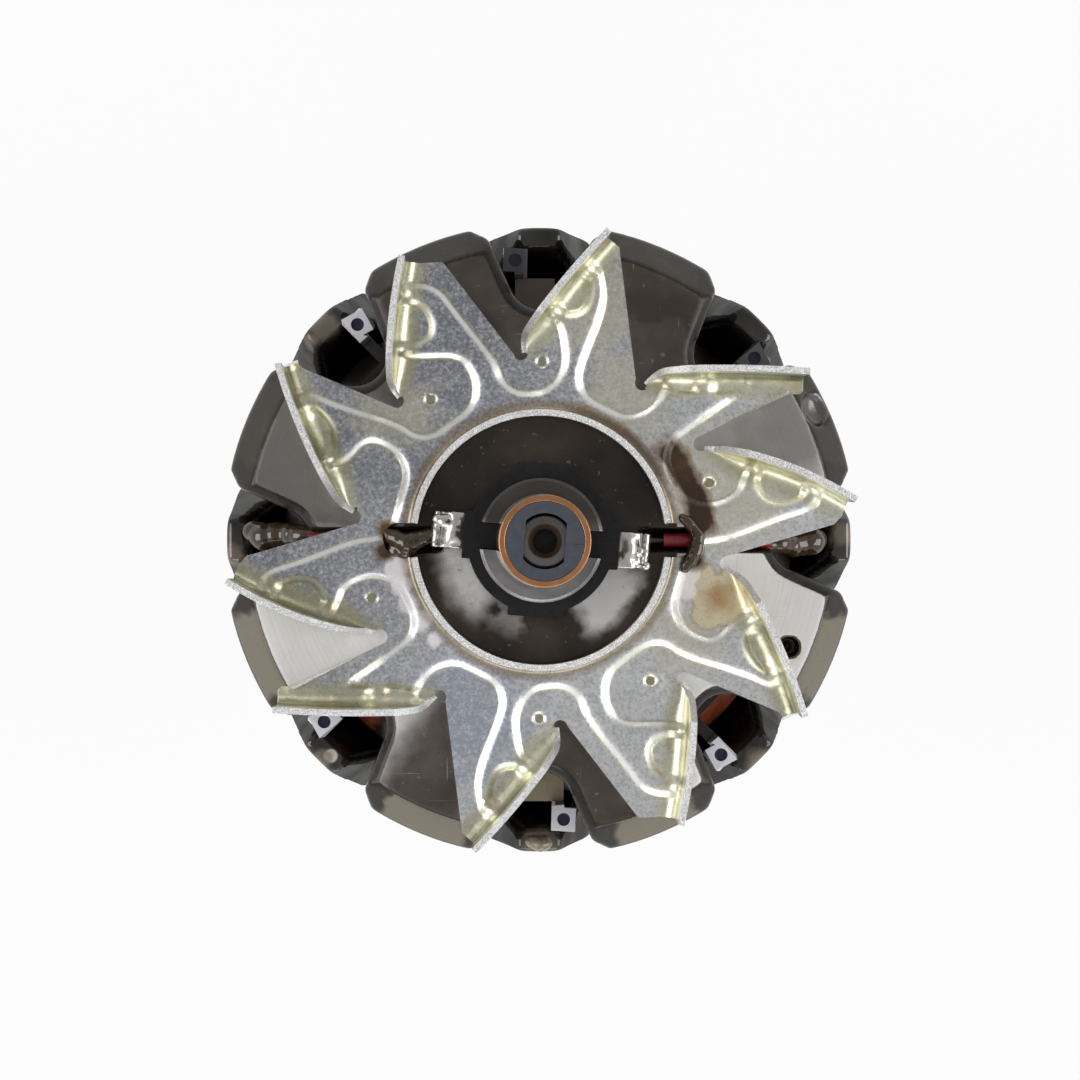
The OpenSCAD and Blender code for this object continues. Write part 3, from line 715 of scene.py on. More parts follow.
def blade_strip(i, blade_h):
    """Rows of points up blade i, which opens at its slot and rises to its height from there."""
    steps = np.array([1 - k / BLADE_STEPS for k in range(BLADE_STEPS + 1)])
    folds = np.array([fold_at(i, t) for t in steps])
    edge = np.array([blade_at(i, t, SHEET / 2 + fold) for t, fold in zip(steps, folds)])
    base = SHEET / 2 + EMBOSS * rib_lift(edge)
    opened = math.radians(90) * np.clip(0.12 + steps / 0.13, 0, 1)
    rows = []
    for k in range(FOLD_ROWS + 1):
        angle = opened * k / FOLD_ROWS
        inset = SHEET / 2 + folds * (1 - np.sin(angle))
        place = np.array([blade_at(i, t, deep) for t, deep in zip(steps, inset)])
        rows.append(np.column_stack([place, base + folds * (1 - np.cos(angle))]))
    brow = rows[-1][:, 2]
    top = brow + 0.05 + (blade_h - brow) * np.clip((steps - 0.06) / 0.19, 0, 1) ** 0.9
    for k in range(1, WALL_ROWS + 1):
        part = k / WALL_ROWS
        place = np.array([blade_at(i, t * (1 + 0.012 * part), deep) for t, deep in zip(steps, inset)])
        rows.append(np.column_stack([place, brow + (top - brow) * part]))
    # The second number of each row paints a highlight on the fold and the wall.
    tint = [(0.8, 0.4)] * (FOLD_ROWS + 1)
    tint += [(max(0.15, 0.7 - k / WALL_ROWS), 0.7) for k in range(1, WALL_ROWS + 1)]
    return np.array(rows), tint


def collar_strip(notched, part):
    """Rows of points round the fold of the collar and up its wall."""
    rows = []
    for k in range(COLLAR_ROWS + 1):
        angle = math.radians(90 * k / COLLAR_ROWS)
        radius = COLLAR_MID_R + COLLAR_FOLD * (1 - math.sin(angle))
        place = np.array([polar(radius, a) for a in collar_angles(radius, notched)[part]])
        height = SHEET / 2 + EMBOSS + COLLAR_FOLD * (1 - math.cos(angle))
        rows.append(np.column_stack([place, np.full(len(place), height)]))
    start = rows[-1]
    for k in range(1, COLLAR_WALL_ROWS + 1):
        lifted = start.copy()
        lifted[:, 2] += (COLLAR_H - start[:, 2]) * k / COLLAR_WALL_ROWS
        rows.append(lifted)
    # The second number of each row paints a highlight on the collar.
    return np.array(rows), [(0.6, 0.3)] * (COLLAR_ROWS + 1) + [(0.2, 0.6)] * COLLAR_WALL_ROWS


print(f"a blade has {FOLD_ROWS + WALL_ROWS} rows of faces")

# %% [markdown]
# Three helpers serve every piece from here on. `reworked` opens a mesh for bmesh's operators and writes
# it back, `modify` adds a modifier with its settings, and `hand_over` puts a finished piece into the
# scene, on the rotor's body and in place of the CAD nodes that it stands for.

# %% Helpers for every piece


@contextmanager
def reworked(mesh, source=None):
    """Open a mesh, or the source that it is made from, and write the result to it."""
    opened = bmesh.new()
    opened.from_mesh(mesh if source is None else source)
    yield opened
    opened.to_mesh(mesh)
    opened.free()


def modify(piece, name, kind, **settings):
    modifier = piece.modifiers.new(name, kind)
    for key, value in settings.items():
        setattr(modifier, key, value)


def hand_over(piece, slot, *nodes):
    scene.collection.objects.link(piece)
    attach(piece, "root")
    if nodes:
        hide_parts(*nodes)


print("pieces can be reworked, modified and handed over")

# %% Put the fan together


def fan_mesh(blade_h, notched):
    flat, faces = blank_mesh(notched)
    lift = rib_lift(flat)
    points = [np.column_stack([flat, SHEET / 2 + EMBOSS * lift + weld_mark(flat)])]
    # The second number paints a highlight, strongest halfway up each slope.
    tints = [np.column_stack([bend_tint(flat, lift), 4 * lift * (1 - lift)])]
    quads = []
    count = len(flat)
    strips = [blade_strip(i, blade_h) for i in range(BLADES)]
    strips += [collar_strip(notched, part) for part in range(2 if notched else 1)]
    for rows, tint in strips:
        deep, wide = rows.shape[:2]
        points.append(rows.reshape(-1, 3))
        tints.append(np.repeat(tint, wide, axis=0))
        for r in range(deep - 1):
            for c in range(wide - 1):
                k = count + r * wide + c
                quads.append((k, k + 1, k + wide + 1, k + wide))
        count += deep * wide
    return np.vstack(points), [tuple(f) for f in faces] + quads, np.concatenate(tints)


def make_fan(name, node, blade_h, notched, place):
    points, faces, tints = fan_mesh(blade_h, notched)
    mesh = bpy.data.meshes.new(name)
    mesh.from_pydata([tuple(p) for p in place(points) * MM], [], faces)
    # The second attribute carries the painted highlight.
    for column, layer_name in enumerate(("bend", "painted_highlight")):
        layer = mesh.attributes.new(layer_name, "FLOAT", "POINT")
        layer.data.foreach_set("value", np.ascontiguousarray(tints[:, column], dtype=np.float32))
    with reworked(mesh) as blank:
        bmesh.ops.remove_doubles(blank, verts=blank.verts, dist=0.01 * MM)
        bmesh.ops.recalc_face_normals(blank, faces=blank.faces)
    mesh.shade_smooth()
    fan = bpy.data.objects.new(name, mesh)
    mesh.materials.append(zinc.material)
    mesh.materials.append(sheared.material)
    modify(fan, "gauge", "SOLIDIFY", thickness=SHEET * MM, offset=0, material_offset_rim=1)
    modify(fan, "crisp_edge", "EDGE_SPLIT", split_angle=math.radians(48))
    hand_over(fan, "zinc_sheet", node)
    print(f"{name}: {len(mesh.vertices)} points")


def near_side(points):
    return points + (0, 0, REAR_FACE)


def far_side(points):
    return points * (1, -1, -1) + (0, 0, FRONT_FACE)


make_fan("stamped_rear_fan", "rear_fan", REAR_BLADE_H, True, near_side)
make_fan("stamped_front_fan", "front_fan", FRONT_BLADE_H, False, far_side)

# %% [markdown]
# ## Softened solids
# A forged or turned edge is never perfectly sharp, and the thin bright line along it is much of what
# tells the eye that it is metal. For most solids it is enough to copy the CAD mesh, weld it, merge its
# flat triangles back into whole faces, and let a Bevel modifier round every edge that turns more than a
# limit.

# %% A softened copy of a solid
FLAT_TURN = 0.8


def softened(node, slot, material, width, segments=2, limit=28):
    mesh = bpy.data.meshes.new(node + "_softened")
    with reworked(mesh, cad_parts[node].data) as shell:
        bmesh.ops.remove_doubles(shell, verts=shell.verts, dist=1e-6)
        flat = {"angle_limit": math.radians(FLAT_TURN), "verts": shell.verts, "edges": shell.edges}
        bmesh.ops.dissolve_limit(shell, **flat)
    mesh.shade_smooth()
    mesh.set_sharp_from_angle(angle=math.radians(limit))
    piece = bpy.data.objects.new(node + "_softened", mesh)
    mesh.materials.append(material)
    where = {"limit_method": "ANGLE", "angle_limit": math.radians(limit)}
    modify(piece, "soft_edge", "BEVEL", width=width * MM, segments=segments, harden_normals=True, **where)
    hand_over(piece, slot, node)
    return piece


print(f"faces within {FLAT_TURN} degrees are merged")

# %% [markdown]
# ## Claw poles
# Both poles are forged, dipped in dark varnish and then turned, so the near faces are bare steel with
# fine circular tool marks while the bevels, flanks and the far pole stay under glossy varnish. The tool
# marks are a bump that only changes with the distance from the shaft: each ring tips the surface in or
# out towards the side lamps. On top of that, the faces at the left and right of the shaft are painted as
# pale bare steel and those above and below as darker film: partly varnish film left on them and partly a
# painted sheen of the side lamps.

# %% Tool marks, bare steel and painted sheen
FAN_FOOT_R = COLLAR_R + 1.0
pole = Finish("pole_steel", Coat_Roughness=0.10, Anisotropic=0.8, Specular_IOR_Level=0.25)
on_face = pole.step(pole.up, 0.9, 0.99) * pole.fade(pole.z, REAR_FACE - 0.4, REAR_FACE - 0.1)
turned_zone = on_face * pole.fade(pole.radius, FAN_FOOT_R, FAN_FOOT_R + 0.5)
hub_zone = on_face - turned_zone
film = pole.step(pole.grain(45, 4, 0.6), 0.40, 0.66)
smears = pole.step(pole.grain(260, 4, 0.65), 0.45, 0.75)
# Painted sheen: these sectors, at the left and right of the shaft, paint the turned faces as pale bare steel.
side_sheen = pole.sector(337, 30, 16).largest(pole.sector(206, 20, 14))
bare_and_sheen = (pole.sector(157, 14, 10) * 0.2).largest(pole.sector(20, 14, 10) * 0.38).largest(side_sheen)
cuts = pole.step(pole.rings(3000, 2), 0.45, 0.75, 0, 0.18)
bare = pole.blend(smears * 0.3, (0.97, 0.96, 0.94), (0.76, 0.75, 0.73))
bare = pole.blend(cuts, bare, (0.52, 0.51, 0.50))
varnished = pole.blend(film, (0.095, 0.078, 0.066), (0.165, 0.14, 0.125))
print("bare steel and varnish are mixed")

# %% [markdown]
# The handling scratches are thin: noise stretched a hundred times longer than wide, of which only the
# highest streaks are kept. The specks are dust that set in the varnish.

# %% Scratches, specks, the varnished hub and painted reflections on it
scratches = pole.step(pole.grain(1, 2, 0.5, (90, 2600, 90)), 0.70, 0.76)
scratches = scratches.largest(pole.step(pole.grain(1, 2, 0.5, (2300, 120, 90)), 0.71, 0.77))
specks = pole.step(pole.grain(900), 0.68, 0.75)
filmed = pole.layers(
    varnished,
    (bare_and_sheen, bare),
    (scratches * 0.3, (0.60, 0.58, 0.55)),
    (specks * (1 - bare_and_sheen) * 0.4, (0.40, 0.33, 0.26)),
)


def hub_glare_patch(degrees, wide, inner, outer):
    """A painted reflection on the hub round one direction, strongest by the base ring."""
    reach = pole.fade(pole.radius + pole.ragged * (3.5 * MM), outer, inner)
    return pole.sector(degrees, wide * 0.4, wide * 0.5, 0.12) * reach


# Painted reflections: pale patches on the hub at the lower left and lower right.
hub_glare = hub_glare_patch(206, 36, 14.6, 19.4).largest(hub_glare_patch(320, 32, 16.8, 19.4))
hub_glare = hub_glare.largest(hub_glare_patch(246, 16, 14.4, 18.0) * 0.35)
umber = pole.near_any([(-15.4, -9.6, 2.0, 3.0), (13.6, -13.0, 2.0, 3.0), (0.0, -17.0, 2.0, 3.0)])
hub = pole.layers(
    pole.blend(film, (0.020, 0.015, 0.011), (0.058, 0.042, 0.030)),
    (umber * 0.5, (0.10, 0.065, 0.045)),
    (hub_glare * (1 - smears * 0.25), (0.97, 0.95, 0.92)),
    (specks * 0.55, (0.30, 0.24, 0.15)),
)
print("hub is varnished")

# %% [markdown]
# The varnish on the bevels is thick and dark. In the lower half of the picture the middle of each bevel
# is painted a pale beige: painted light from below. The place along a claw comes from the angle: each claw
# takes one eighth of a turn, so the fraction of an eighth is one half at its middle.

# %% Varnish and painted light on the bevels
CLAWS = 8
DIMPLE = polar(50.7, 25.5)
DIMPLE_R = 2.5
turned = pole.y.math("ARCTAN2", pole.y, pole.x) * (CLAWS / (2 * math.pi))
eighth = turned.math("FRACT", turned + CLAWS)
mid_claw = pole.step(abs(eighth - 0.5) + pole.ragged * 0.12, 0.20, 0.155)
lit_lower_half = pole.fade(pole.y, 2, -10)
sloping = pole.step(pole.up, 0.45, 0.6) * pole.step(pole.up, 0.88, 0.8)
# Painted light: the middles of the sloping bevels turn pale beige, strongly in the lower half, faintly above.
skin = sloping * mid_claw * (lit_lower_half * 0.9 + 0.1)
dimple = pole.near(*DIMPLE, DIMPLE_R, 0.3)
# The painted reflections on the hub are also made metallic, less so on the right.
hub_glare_metal = hub_glare * (0.9 - pole.fade(pole.x, 2, 9) * 0.5)
surface = pole.layers(
    pole.blend(smears, (0.016, 0.012, 0.008), (0.034, 0.026, 0.018)),
    (skin * 0.85, (0.20, 0.175, 0.13)),
    (dimple * 0.9, (0.17, 0.165, 0.16)),
    (turned_zone, filmed),
    (hub_zone, hub),
)
pole.set("Base Color", surface)
bare_metal = turned_zone * (0.95 - side_sheen * 0.35) + dimple * (1 - turned_zone) * 0.6
pole.set("Metallic", bare_metal + hub_zone * hub_glare_metal)
pole.set("Roughness", turned_zone * 0.10 + 0.24 + smears * 0.10)
pole.set("Coat Weight", 0.2 - turned_zone * 0.1)
pole.bump(pole.rings(5200, 3) * turned_zone * 0.4 + pole.grain(300, 3) * (1 - turned_zone), 0.04)
print("pole steel has", len(pole.tree.nodes), "nodes")

# %% [markdown]
# The far pole's fingers stand in the valleys under thick black varnish. The clear top coat grows with
# how far a surface looks up: steep flanks would otherwise mirror the white floor, which the real ones,
# deep between the claws, hardly see. A few tips have brown drops of varnish, and beige patches and a
# pale spot on a few tips are painted reflections.

# %% Black varnish on the fingers
black = Finish("black_varnish", Coat_Roughness=0.07, Coat_IOR=1.8, Specular_IOR_Level=0.0)
tip = black.fade(black.z, FINGER_TOP - 5, FINGER_TOP - 2)
# Painted reflections: beige patches on three finger tips.
tip_glare = black.near_any([(-36.2, 36.1, 1.4, 1.6), (37.0, -37.4, 1.0, 2.0), (-38.6, 33.6, 0.6, 1.2)])
brown_spots = [(0.0, -51.8, 2.2, 1.6), (-36.6, -37.0, 1.2), (51.8, 1.0, 1.0, 2.0), (-51.6, -3.0, 1.2, 1.6)]
varnish = black.layers(
    black.blend(black.grain(200, 3), (0.009, 0.0075, 0.006), (0.026, 0.022, 0.017)),
    (tip * tip_glare * 0.8, (0.19, 0.155, 0.115)),
    # A painted highlight: a pale spot on one finger tip.
    (tip * black.near(-35.4, -36.6, 0.9, 0.5), (0.85, 0.78, 0.66)),
    (tip * black.near_any(brown_spots) * 0.8, (0.17, 0.13, 0.095)),
)
black.set("Base Color", varnish)
black.gloss(black.grain(400, 3), 0.1, 0.28)
uneven = black.step(black.grain(110, 3), 0.35, 0.65, 0.5, 1.0)
black.set("Coat Weight", black.step(black.up, -0.05, 0.7) * uneven)
black.bump(black.grain(160, 3), 0.25)
print("black varnish is mixed")

# %% [markdown]
# A forging that was dipped in varnish has no sharp edge anywhere. A Bevel modifier is awkward on a shape
# with so many short edges, so the poles take another way: a voxel remesh wraps the solid in an even skin,
# smoothing rounds that skin by about a millimetre, and Decimate thins it out again where it is flat.

# %% Dip both poles


def dipped(node, slot, material, voxel, rounds, kept):
    piece = bpy.data.objects.new(node + "_dipped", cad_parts[node].data.copy())
    piece.data.materials.clear()
    piece.data.materials.append(material)
    modify(piece, "skin", "REMESH", mode="VOXEL", voxel_size=voxel * MM, use_smooth_shade=True)
    modify(piece, "rounding", "SMOOTH", factor=0.5, iterations=rounds)
    modify(piece, "thinned", "DECIMATE", ratio=kept)
    hand_over(piece, slot, node)


dipped("rear_claw_pole", "pole_steel", pole.material, voxel=0.5, rounds=8, kept=0.5)
dipped("front_claw_pole", "varnished_steel", black.material, voxel=0.6, rounds=26, kept=0.95)
softened("pole_core", "varnished_steel", black.material, 0.3)
print("claw poles dressed")

# %% [markdown]
# ## Field winding
# The coil shows only through the valleys, as rows of enamelled wire under red-brown varnish. Each row of
# a neat winding looks like a ring, so a lathe of round ridges, one for each wire, is enough: the profile
# steps along the coil's outline and swells between steps.

# %% Wire ridges
WIRE = 0.95
coil_low, coil_high = node_box("field_coil")
COIL_MID_Z = (coil_low[2] + coil_high[2]) / 2
COIL_HALF = (coil_high[2] - coil_low[2]) / 2
COIL_R = coil_high[0]
FLANGE_R = COIL_R - 3.25
COIL_IN = COIL_R - 18.3
COIL_FLAT = COIL_HALF * 0.35
RIDGE = 0.22


def coil_profile():
    corners = [(COIL_IN, COIL_HALF), (FLANGE_R, COIL_HALF), (COIL_R, COIL_FLAT)]
    corners += [(r, -z) for r, z in corners[::-1]]
    line = []
    for (r0, z0), (r1, z1) in zip(corners, corners[1:]):
        length = math.hypot(r1 - r0, z1 - z0)
        wires = max(1, round(length / WIRE))
        out_r, out_z = (z0 - z1) / length, (r1 - r0) / length
        for k in range(wires * 6):
            part = k / (wires * 6)
            sink = RIDGE * (1 - abs(math.sin(math.pi * part * wires))) + 0.02
            line.append((r0 + (r1 - r0) * part - out_r * sink, z0 + (z1 - z0) * part - out_z * sink))
    return line


def lathe(profile, steps=192):
    points = []
    for k in range(steps):
        c, s = math.cos(2 * math.pi * k / steps), math.sin(2 * math.pi * k / steps)
        points += [(r * c, r * s, z) for r, z in profile]
    n = len(profile)
    faces = []
    for k in range(steps):
        a, b = k * n, (k + 1) % steps * n
        faces += [(a + j, b + j, b + (j + 1) % n, a + (j + 1) % n) for j in range(n)]
    return np.array(points), faces


def piece_from(name, points, faces, material, slot, *nodes):
    mesh = bpy.data.meshes.new(name)
    mesh.from_pydata([tuple(p) for p in np.asarray(points) * MM], [], faces)
    with reworked(mesh) as shell:
        bmesh.ops.recalc_face_normals(shell, faces=shell.faces)
    mesh.shade_smooth()
    mesh.materials.append(material)
    piece = bpy.data.objects.new(name, mesh)
    hand_over(piece, slot, *nodes)
    return piece


print("coil profile has", len(coil_profile()), "points")

# %% Wind the coil
enamel = Finish("winding_enamel", Coat_Weight=0.8, Coat_Roughness=0.08, Metallic=0.25)
tone = enamel.grain(120, 3)
# Painted shade: the coil is painted near black except at two spots low on the left and right.
lit_copper = enamel.near_any([(30.0, -28.4, 2.0, 3.0), (-29.4, -30.4, 1.0, 2.0)])
wire = enamel.blend(tone, (0.17, 0.028, 0.012), (0.42, 0.11, 0.045))
enamel.set("Base Color", enamel.blend(lit_copper, (0.018, 0.010, 0.007), wire))
enamel.gloss(tone, 0.25, 0.4)
points, faces = lathe(coil_profile())
points = points + (0, 0, COIL_MID_Z)
piece_from("wound_coil", points, faces, enamel.material, "winding_copper", "field_coil")
print("coil wound from", len(points), "points")

# %% [markdown]
# ## Bobbin
# The bobbin is pale nylon that the hot varnish has stained from cream to brown. Its two tabs show at the
# top and bottom valleys and its two lead posts at the left and right. The six square ears on the finger
# tips stayed clean and nearly white, with blue ink in the dimple. They stand a little askew on the real
# rotor, so the copy's ears are turned about their own middles.

# %% Stained nylon
EAR_R = 45.0
ARM_R = 40.5
nylon = Finish("bobbin_nylon", Coat_Roughness=0.1)
beside_tabs = nylon.fade(abs(nylon.y), 8, 9)
in_shade = nylon.fade(abs(nylon.x), 4, 6) * nylon.fade(abs(nylon.y), 7, 9)
cream = nylon.fade(nylon.y + nylon.ragged * (4 * MM), -36, -42) * (1 - in_shade)
amber_brown = nylon.blend(nylon.grain(300, 3), (0.075, 0.040, 0.020), (0.16, 0.10, 0.055))
ear = nylon.fade(nylon.radius, EAR_R - 0.1, EAR_R + 0.1) * beside_tabs
greyed = nylon.fade(nylon.x, -20, -15) * nylon.fade(nylon.y, 0, 5)
inked = nylon.fade(nylon.z, FINGER_TOP + 0.95, FINGER_TOP + 0.75) * nylon.step(nylon.up, 0.8, 0.95)
ear_white = nylon.blend(greyed, (0.86, 0.86, 0.92), (0.10, 0.10, 0.11))
ear_white = nylon.blend(inked, ear_white, (0.012, 0.012, 0.05))
arm = nylon.fade(nylon.radius, ARM_R - 0.1, ARM_R + 0.1) * beside_tabs
arm = arm * nylon.fade(nylon.z, FINGER_TOP + 0.02, FINGER_TOP + 0.05) * nylon.fade(abs(nylon.x), 2.6, 2.7)
stained_nylon = nylon.layers(
    amber_brown,
    (in_shade * 0.9, (0.012, 0.009, 0.007)),
    (cream, (0.42, 0.34, 0.21)),
    (arm, (0.010, 0.008, 0.006)),
    (ear, ear_white),
)
nylon.set("Base Color", stained_nylon)
nylon.set("Coat Weight", 0.6 - arm.largest(in_shade) * 0.6)
nylon.gloss(nylon.grain(300), 0.2, 0.45)
bobbin = softened("bobbin", "bobbin_nylon", nylon.material, 0.45, 3)

# %% Turn the ears
EAR_TURNS = {40: -16, 95: -4, 130: -16, 220: -16, 275: -4, 310: -16}


def ear_vertices(angle):
    way = Vector(polar(1, angle))
    high = [v for v in bobbin.data.vertices if v.co.z > FINGER_TOP * MM]
    outside = [v for v in high if v.co.xy.length > (EAR_R - 0.2) * MM]
    return [v for v in outside if v.co.xy.normalized().dot(way) > 0.99]


for angle, twist in EAR_TURNS.items():
    ear_points = ear_vertices(angle)
    places = np.array([v.co for v in ear_points])
    middle = (Vector(places.min(0)) + Vector(places.max(0))) / 2
    about_z = Matrix.Rotation(math.radians(twist), 4, "Z")
    swing = Matrix.Translation(middle) @ about_z @ Matrix.Translation(-middle)
    for v in ear_points:
        v.co = swing @ v.co
print("bobbin dressed, with", len(EAR_TURNS), "ears")

# %% [markdown]
# ## Shaft
# The shaft is turned steel. A thread would be heavy in CAD, so the frame has a plain end there: the copy
# is cut off above it and a helical surface takes its place. A helix needs no boolean: on a grid of angle
# and height the radius falls into a V groove wherever the height minus the turn's rise says so.

# %% Turned steel
CENTRE_HOLE_R = 1.85
turned_steel = Finish("turned_steel")
lines = turned_steel.grain(1.0, 2, 0.6, (60, 60, 5200))
flatness = turned_steel.step(turned_steel.up, 0.85, 0.98)
dull = turned_steel.step(turned_steel.grain(180, 3), 0.35, 0.7)
# Painted shade: surfaces that face up are painted darker in the upper half of the picture.
upper_shade = turned_steel.fade(turned_steel.y + turned_steel.ragged * (3 * MM), -1, 4)
upper_shade = upper_shade * turned_steel.step(turned_steel.up, 0.2, 0.5)
stub = turned_steel.fade(turned_steel.radius, 5.0, 4.4) * flatness
rim = turned_steel.fade(turned_steel.radius, CENTRE_HOLE_R + 1.0, CENTRE_HOLE_R + 0.7)
# Painted shade: the centre hole is painted nearly black.
hole_shade = turned_steel.fade(turned_steel.radius, CENTRE_HOLE_R + 0.1, CENTRE_HOLE_R - 0.25)
steel = turned_steel.layers(
    turned_steel.blend(dull, (0.36, 0.35, 0.35), (0.24, 0.23, 0.23)),
    (upper_shade * 0.9, (0.085, 0.075, 0.068)),
    (stub * 0.8, (0.085, 0.078, 0.07)),
    (turned_steel.near(0.3, -1.6, 0.5, 0.9) * flatness * 0.7, (0.22, 0.06, 0.02)),
    (rim, (0.035, 0.022, 0.015)),
    (hole_shade, (0.004, 0.003, 0.003)),
)
turned_steel.set("Base Color", steel)
turned_steel.gloss(lines, 0.24, 0.36)
turned_steel.set("Metallic", 1.0 - (stub * 0.4).largest(rim))
turned_steel.bump(lines * (1 - flatness) * 0.25 + turned_steel.rings(5200, 3) * flatness, 0.05)
print("turned steel is mixed")

# %% Cut the thread
THREAD_R = 8.0
THREAD_LEN = 20.0
THREAD_PITCH = 1.5
THREAD_DEPTH = 0.85
CHAMFER = 1.0
CENTRE_SINK = 0.8
CENTRE_DEEP = 1.2


def circle(count):
    return [(math.cos(2 * math.pi * k / count), math.sin(2 * math.pi * k / count)) for k in range(count)]


def threaded_end(around=72, per_pitch=8):
    heights = np.linspace(0, THREAD_LEN, int(THREAD_LEN / THREAD_PITCH * per_pitch) + 1)
    mouth_r = CENTRE_HOLE_R + CENTRE_SINK
    points = [(CENTRE_HOLE_R * c, CENTRE_HOLE_R * s, CENTRE_DEEP) for c, s in circle(around)]
    points += [(mouth_r * c, mouth_r * s, 0) for c, s in circle(around)]
    for z in heights:
        limit = min(THREAD_R, THREAD_R - CHAMFER + z)
        for k, (c, s) in enumerate(circle(around)):
            groove = abs(((z / THREAD_PITCH - k / around) % 1) * 2 - 1)
            runout = smooth((THREAD_LEN - THREAD_PITCH - z) / THREAD_PITCH)
            radius = min(limit, THREAD_R - THREAD_DEPTH * groove * runout)
            points.append((radius * c, radius * s, z))
    faces = []
    for r in range(len(heights) + 1):
        for k in range(around):
            a, b = r * around + k, r * around + (k + 1) % around
            faces.append((a, b, b + around, a + around))
    return np.array(points), faces


shaft = softened("shaft", "turned_steel", turned_steel.material, 0.25)
cut = {"plane_co": (0, 0, THREAD_LEN * MM), "plane_no": (0, 0, 1), "clear_inner": True}
with reworked(shaft.data) as upper:
    everything = upper.verts[:] + upper.edges[:] + upper.faces[:]
    bmesh.ops.bisect_plane(upper, geom=everything, **cut)
points, faces = threaded_end()
piece_from("threaded_end", points, faces, turned_steel.material, "turned_steel")
softened("drive_end_spacer", "turned_steel", turned_steel.material, 0.4)
print("shaft turned and threaded")

# %% [markdown]
# ## Slip rings
# The carrier is a dull thermoset that looks blue-grey where brush dust has settled, with two copper
# rings on it. The copper is turned, so it has rings on its end face and lines round its track.

# %% Moulding and copper
moulding = Finish("black_moulding", Specular_IOR_Level=0.2)
dust = moulding.fade(moulding.z, SHAFT_TOP - 30, SHAFT_TOP - 1)
chalk = moulding.grain(700, 3, 0.7)
parting = moulding.fade(abs(moulding.y + 0.5 * MM), 0.12, 0.05) * moulding.fade(moulding.x, 4.4, 4.6)
thermoset = moulding.layers(
    moulding.blend(chalk, (0.007, 0.007, 0.008), (0.018, 0.018, 0.020)),
    (dust, moulding.blend(chalk, (0.046, 0.049, 0.062), (0.085, 0.09, 0.112))),
    (parting * 0.6, (0.02, 0.02, 0.025)),
)
moulding.set("Base Color", thermoset)
moulding.gloss(chalk, 0.4, 0.62)
moulding.bump(chalk, 0.03)
softened("slip_ring_moulding", "black_moulding", moulding.material, 0.3)

copper = Finish("ring_copper", Metallic=1.0)
tracks = copper.grain(1.0, 2, 0.6, (40, 40, 4200))
patina = copper.grain(500, 3)
copper.set("Base Color", copper.blend(patina, (0.40, 0.17, 0.075), (0.66, 0.34, 0.17)))
copper.gloss(tracks, 0.24, 0.42)
copper.bump(tracks + patina * 0.6, 0.03)
for ring in ("outer_slip_ring", "inner_slip_ring"):
    softened(ring, "ring_copper", copper.material, 0.2, 3)
print("slip rings dressed")

# %% [markdown]
# ## Lugs
# Each end of the winding is soldered into a tinned lug on the base ring. The lug is a bent strip, so the
# mesh is a small grid whose height follows the bend: flat by the boss, arched over the wire, with a lip
# at the outer end. Seeded noise dents it, and beads of solder, merged by a voxel remesh, lie on one side.

# %% Tin
tin = Finish("tinned_metal", Metallic=1.0)
lumps = tin.grain(260, 3)
tin.set("Base Color", tin.blend(lumps, (0.50, 0.48, 0.44), (0.86, 0.85, 0.82)))
tin.gloss(lumps, 0.14, 0.36)
tin.bump(lumps, 0.15)
print("tin is mixed")

# %% Bend the lugs
BOSS_R = 12.8
LUG_REACH = 4.9
LUG_W = 5.8
LUG_TOP = 5.4
RING_TURN = -4.5


def spin(points, degrees):
    c, s = math.cos(math.radians(degrees)), math.sin(math.radians(degrees))
    x, y = points[:, 0].copy(), points[:, 1].copy()
    points[:, 0], points[:, 1] = c * x - s * y, s * x + c * y
    return points


def bent_lug(seed, around=24, along=26):
    """A grid with u running out from the boss and v across: an arch, a lip and dents lift it."""
    points = []
    for a in range(along + 1):
        u = a / along
        for b in range(around + 1):
            v = b / around
            dent = noise.noise((u * 3.1 + seed, v * 3.7, seed * 1.7)) * 0.45
            arch = 0.9 * math.sin(math.pi * min(1, u * 1.5)) * (0.55 + 0.45 * math.sin(math.pi * v))
            lip = 0.9 * smooth((u - 0.80) / 0.10) - 2.6 * smooth((u - 0.93) / 0.07)
            height = LUG_TOP - 1.0 * u + arch + lip + dent
            points.append((BOSS_R + LUG_REACH * u, LUG_W * (v - 0.59), height))
    row = around + 1
    starts = [a * row + b for a in range(along) for b in range(around)]
    return np.array(points), [(k, k + 1, k + row + 1, k + row) for k in starts]


print(f"a lug reaches out to {BOSS_R + LUG_REACH:.1f} mm")

# %% Melt beads into lumps


def merged_beads(name, beads, material, slot, voxel):
    """Overlapping balls (x, y, z above the claw face, radius) melted into one lump."""
    mesh = bpy.data.meshes.new(name)
    with reworked(mesh) as heap:
        for x, y, z, r in beads:
            place = Matrix.Translation(Vector((x, y, REAR_FACE + z)) * MM)
            bmesh.ops.create_icosphere(heap, subdivisions=3, radius=r * MM, matrix=place)
    mesh.materials.append(material)
    lump = bpy.data.objects.new(name, mesh)
    modify(lump, "melt", "REMESH", mode="VOXEL", voxel_size=voxel * MM, use_smooth_shade=True)
    modify(lump, "settle", "SMOOTH", factor=0.5, iterations=24)
    hand_over(lump, slot)


print("beads can be melted")

# %% Solder the lugs
SOLDER_BEADS = 9


def solder_bead():
    out = BOSS_R + 1.2 + 3.6 * random.random()
    aside = -3.0 + 2.6 * random.random()
    return out, aside, 4.6 + random.random(), 0.7 + 0.5 * random.random()


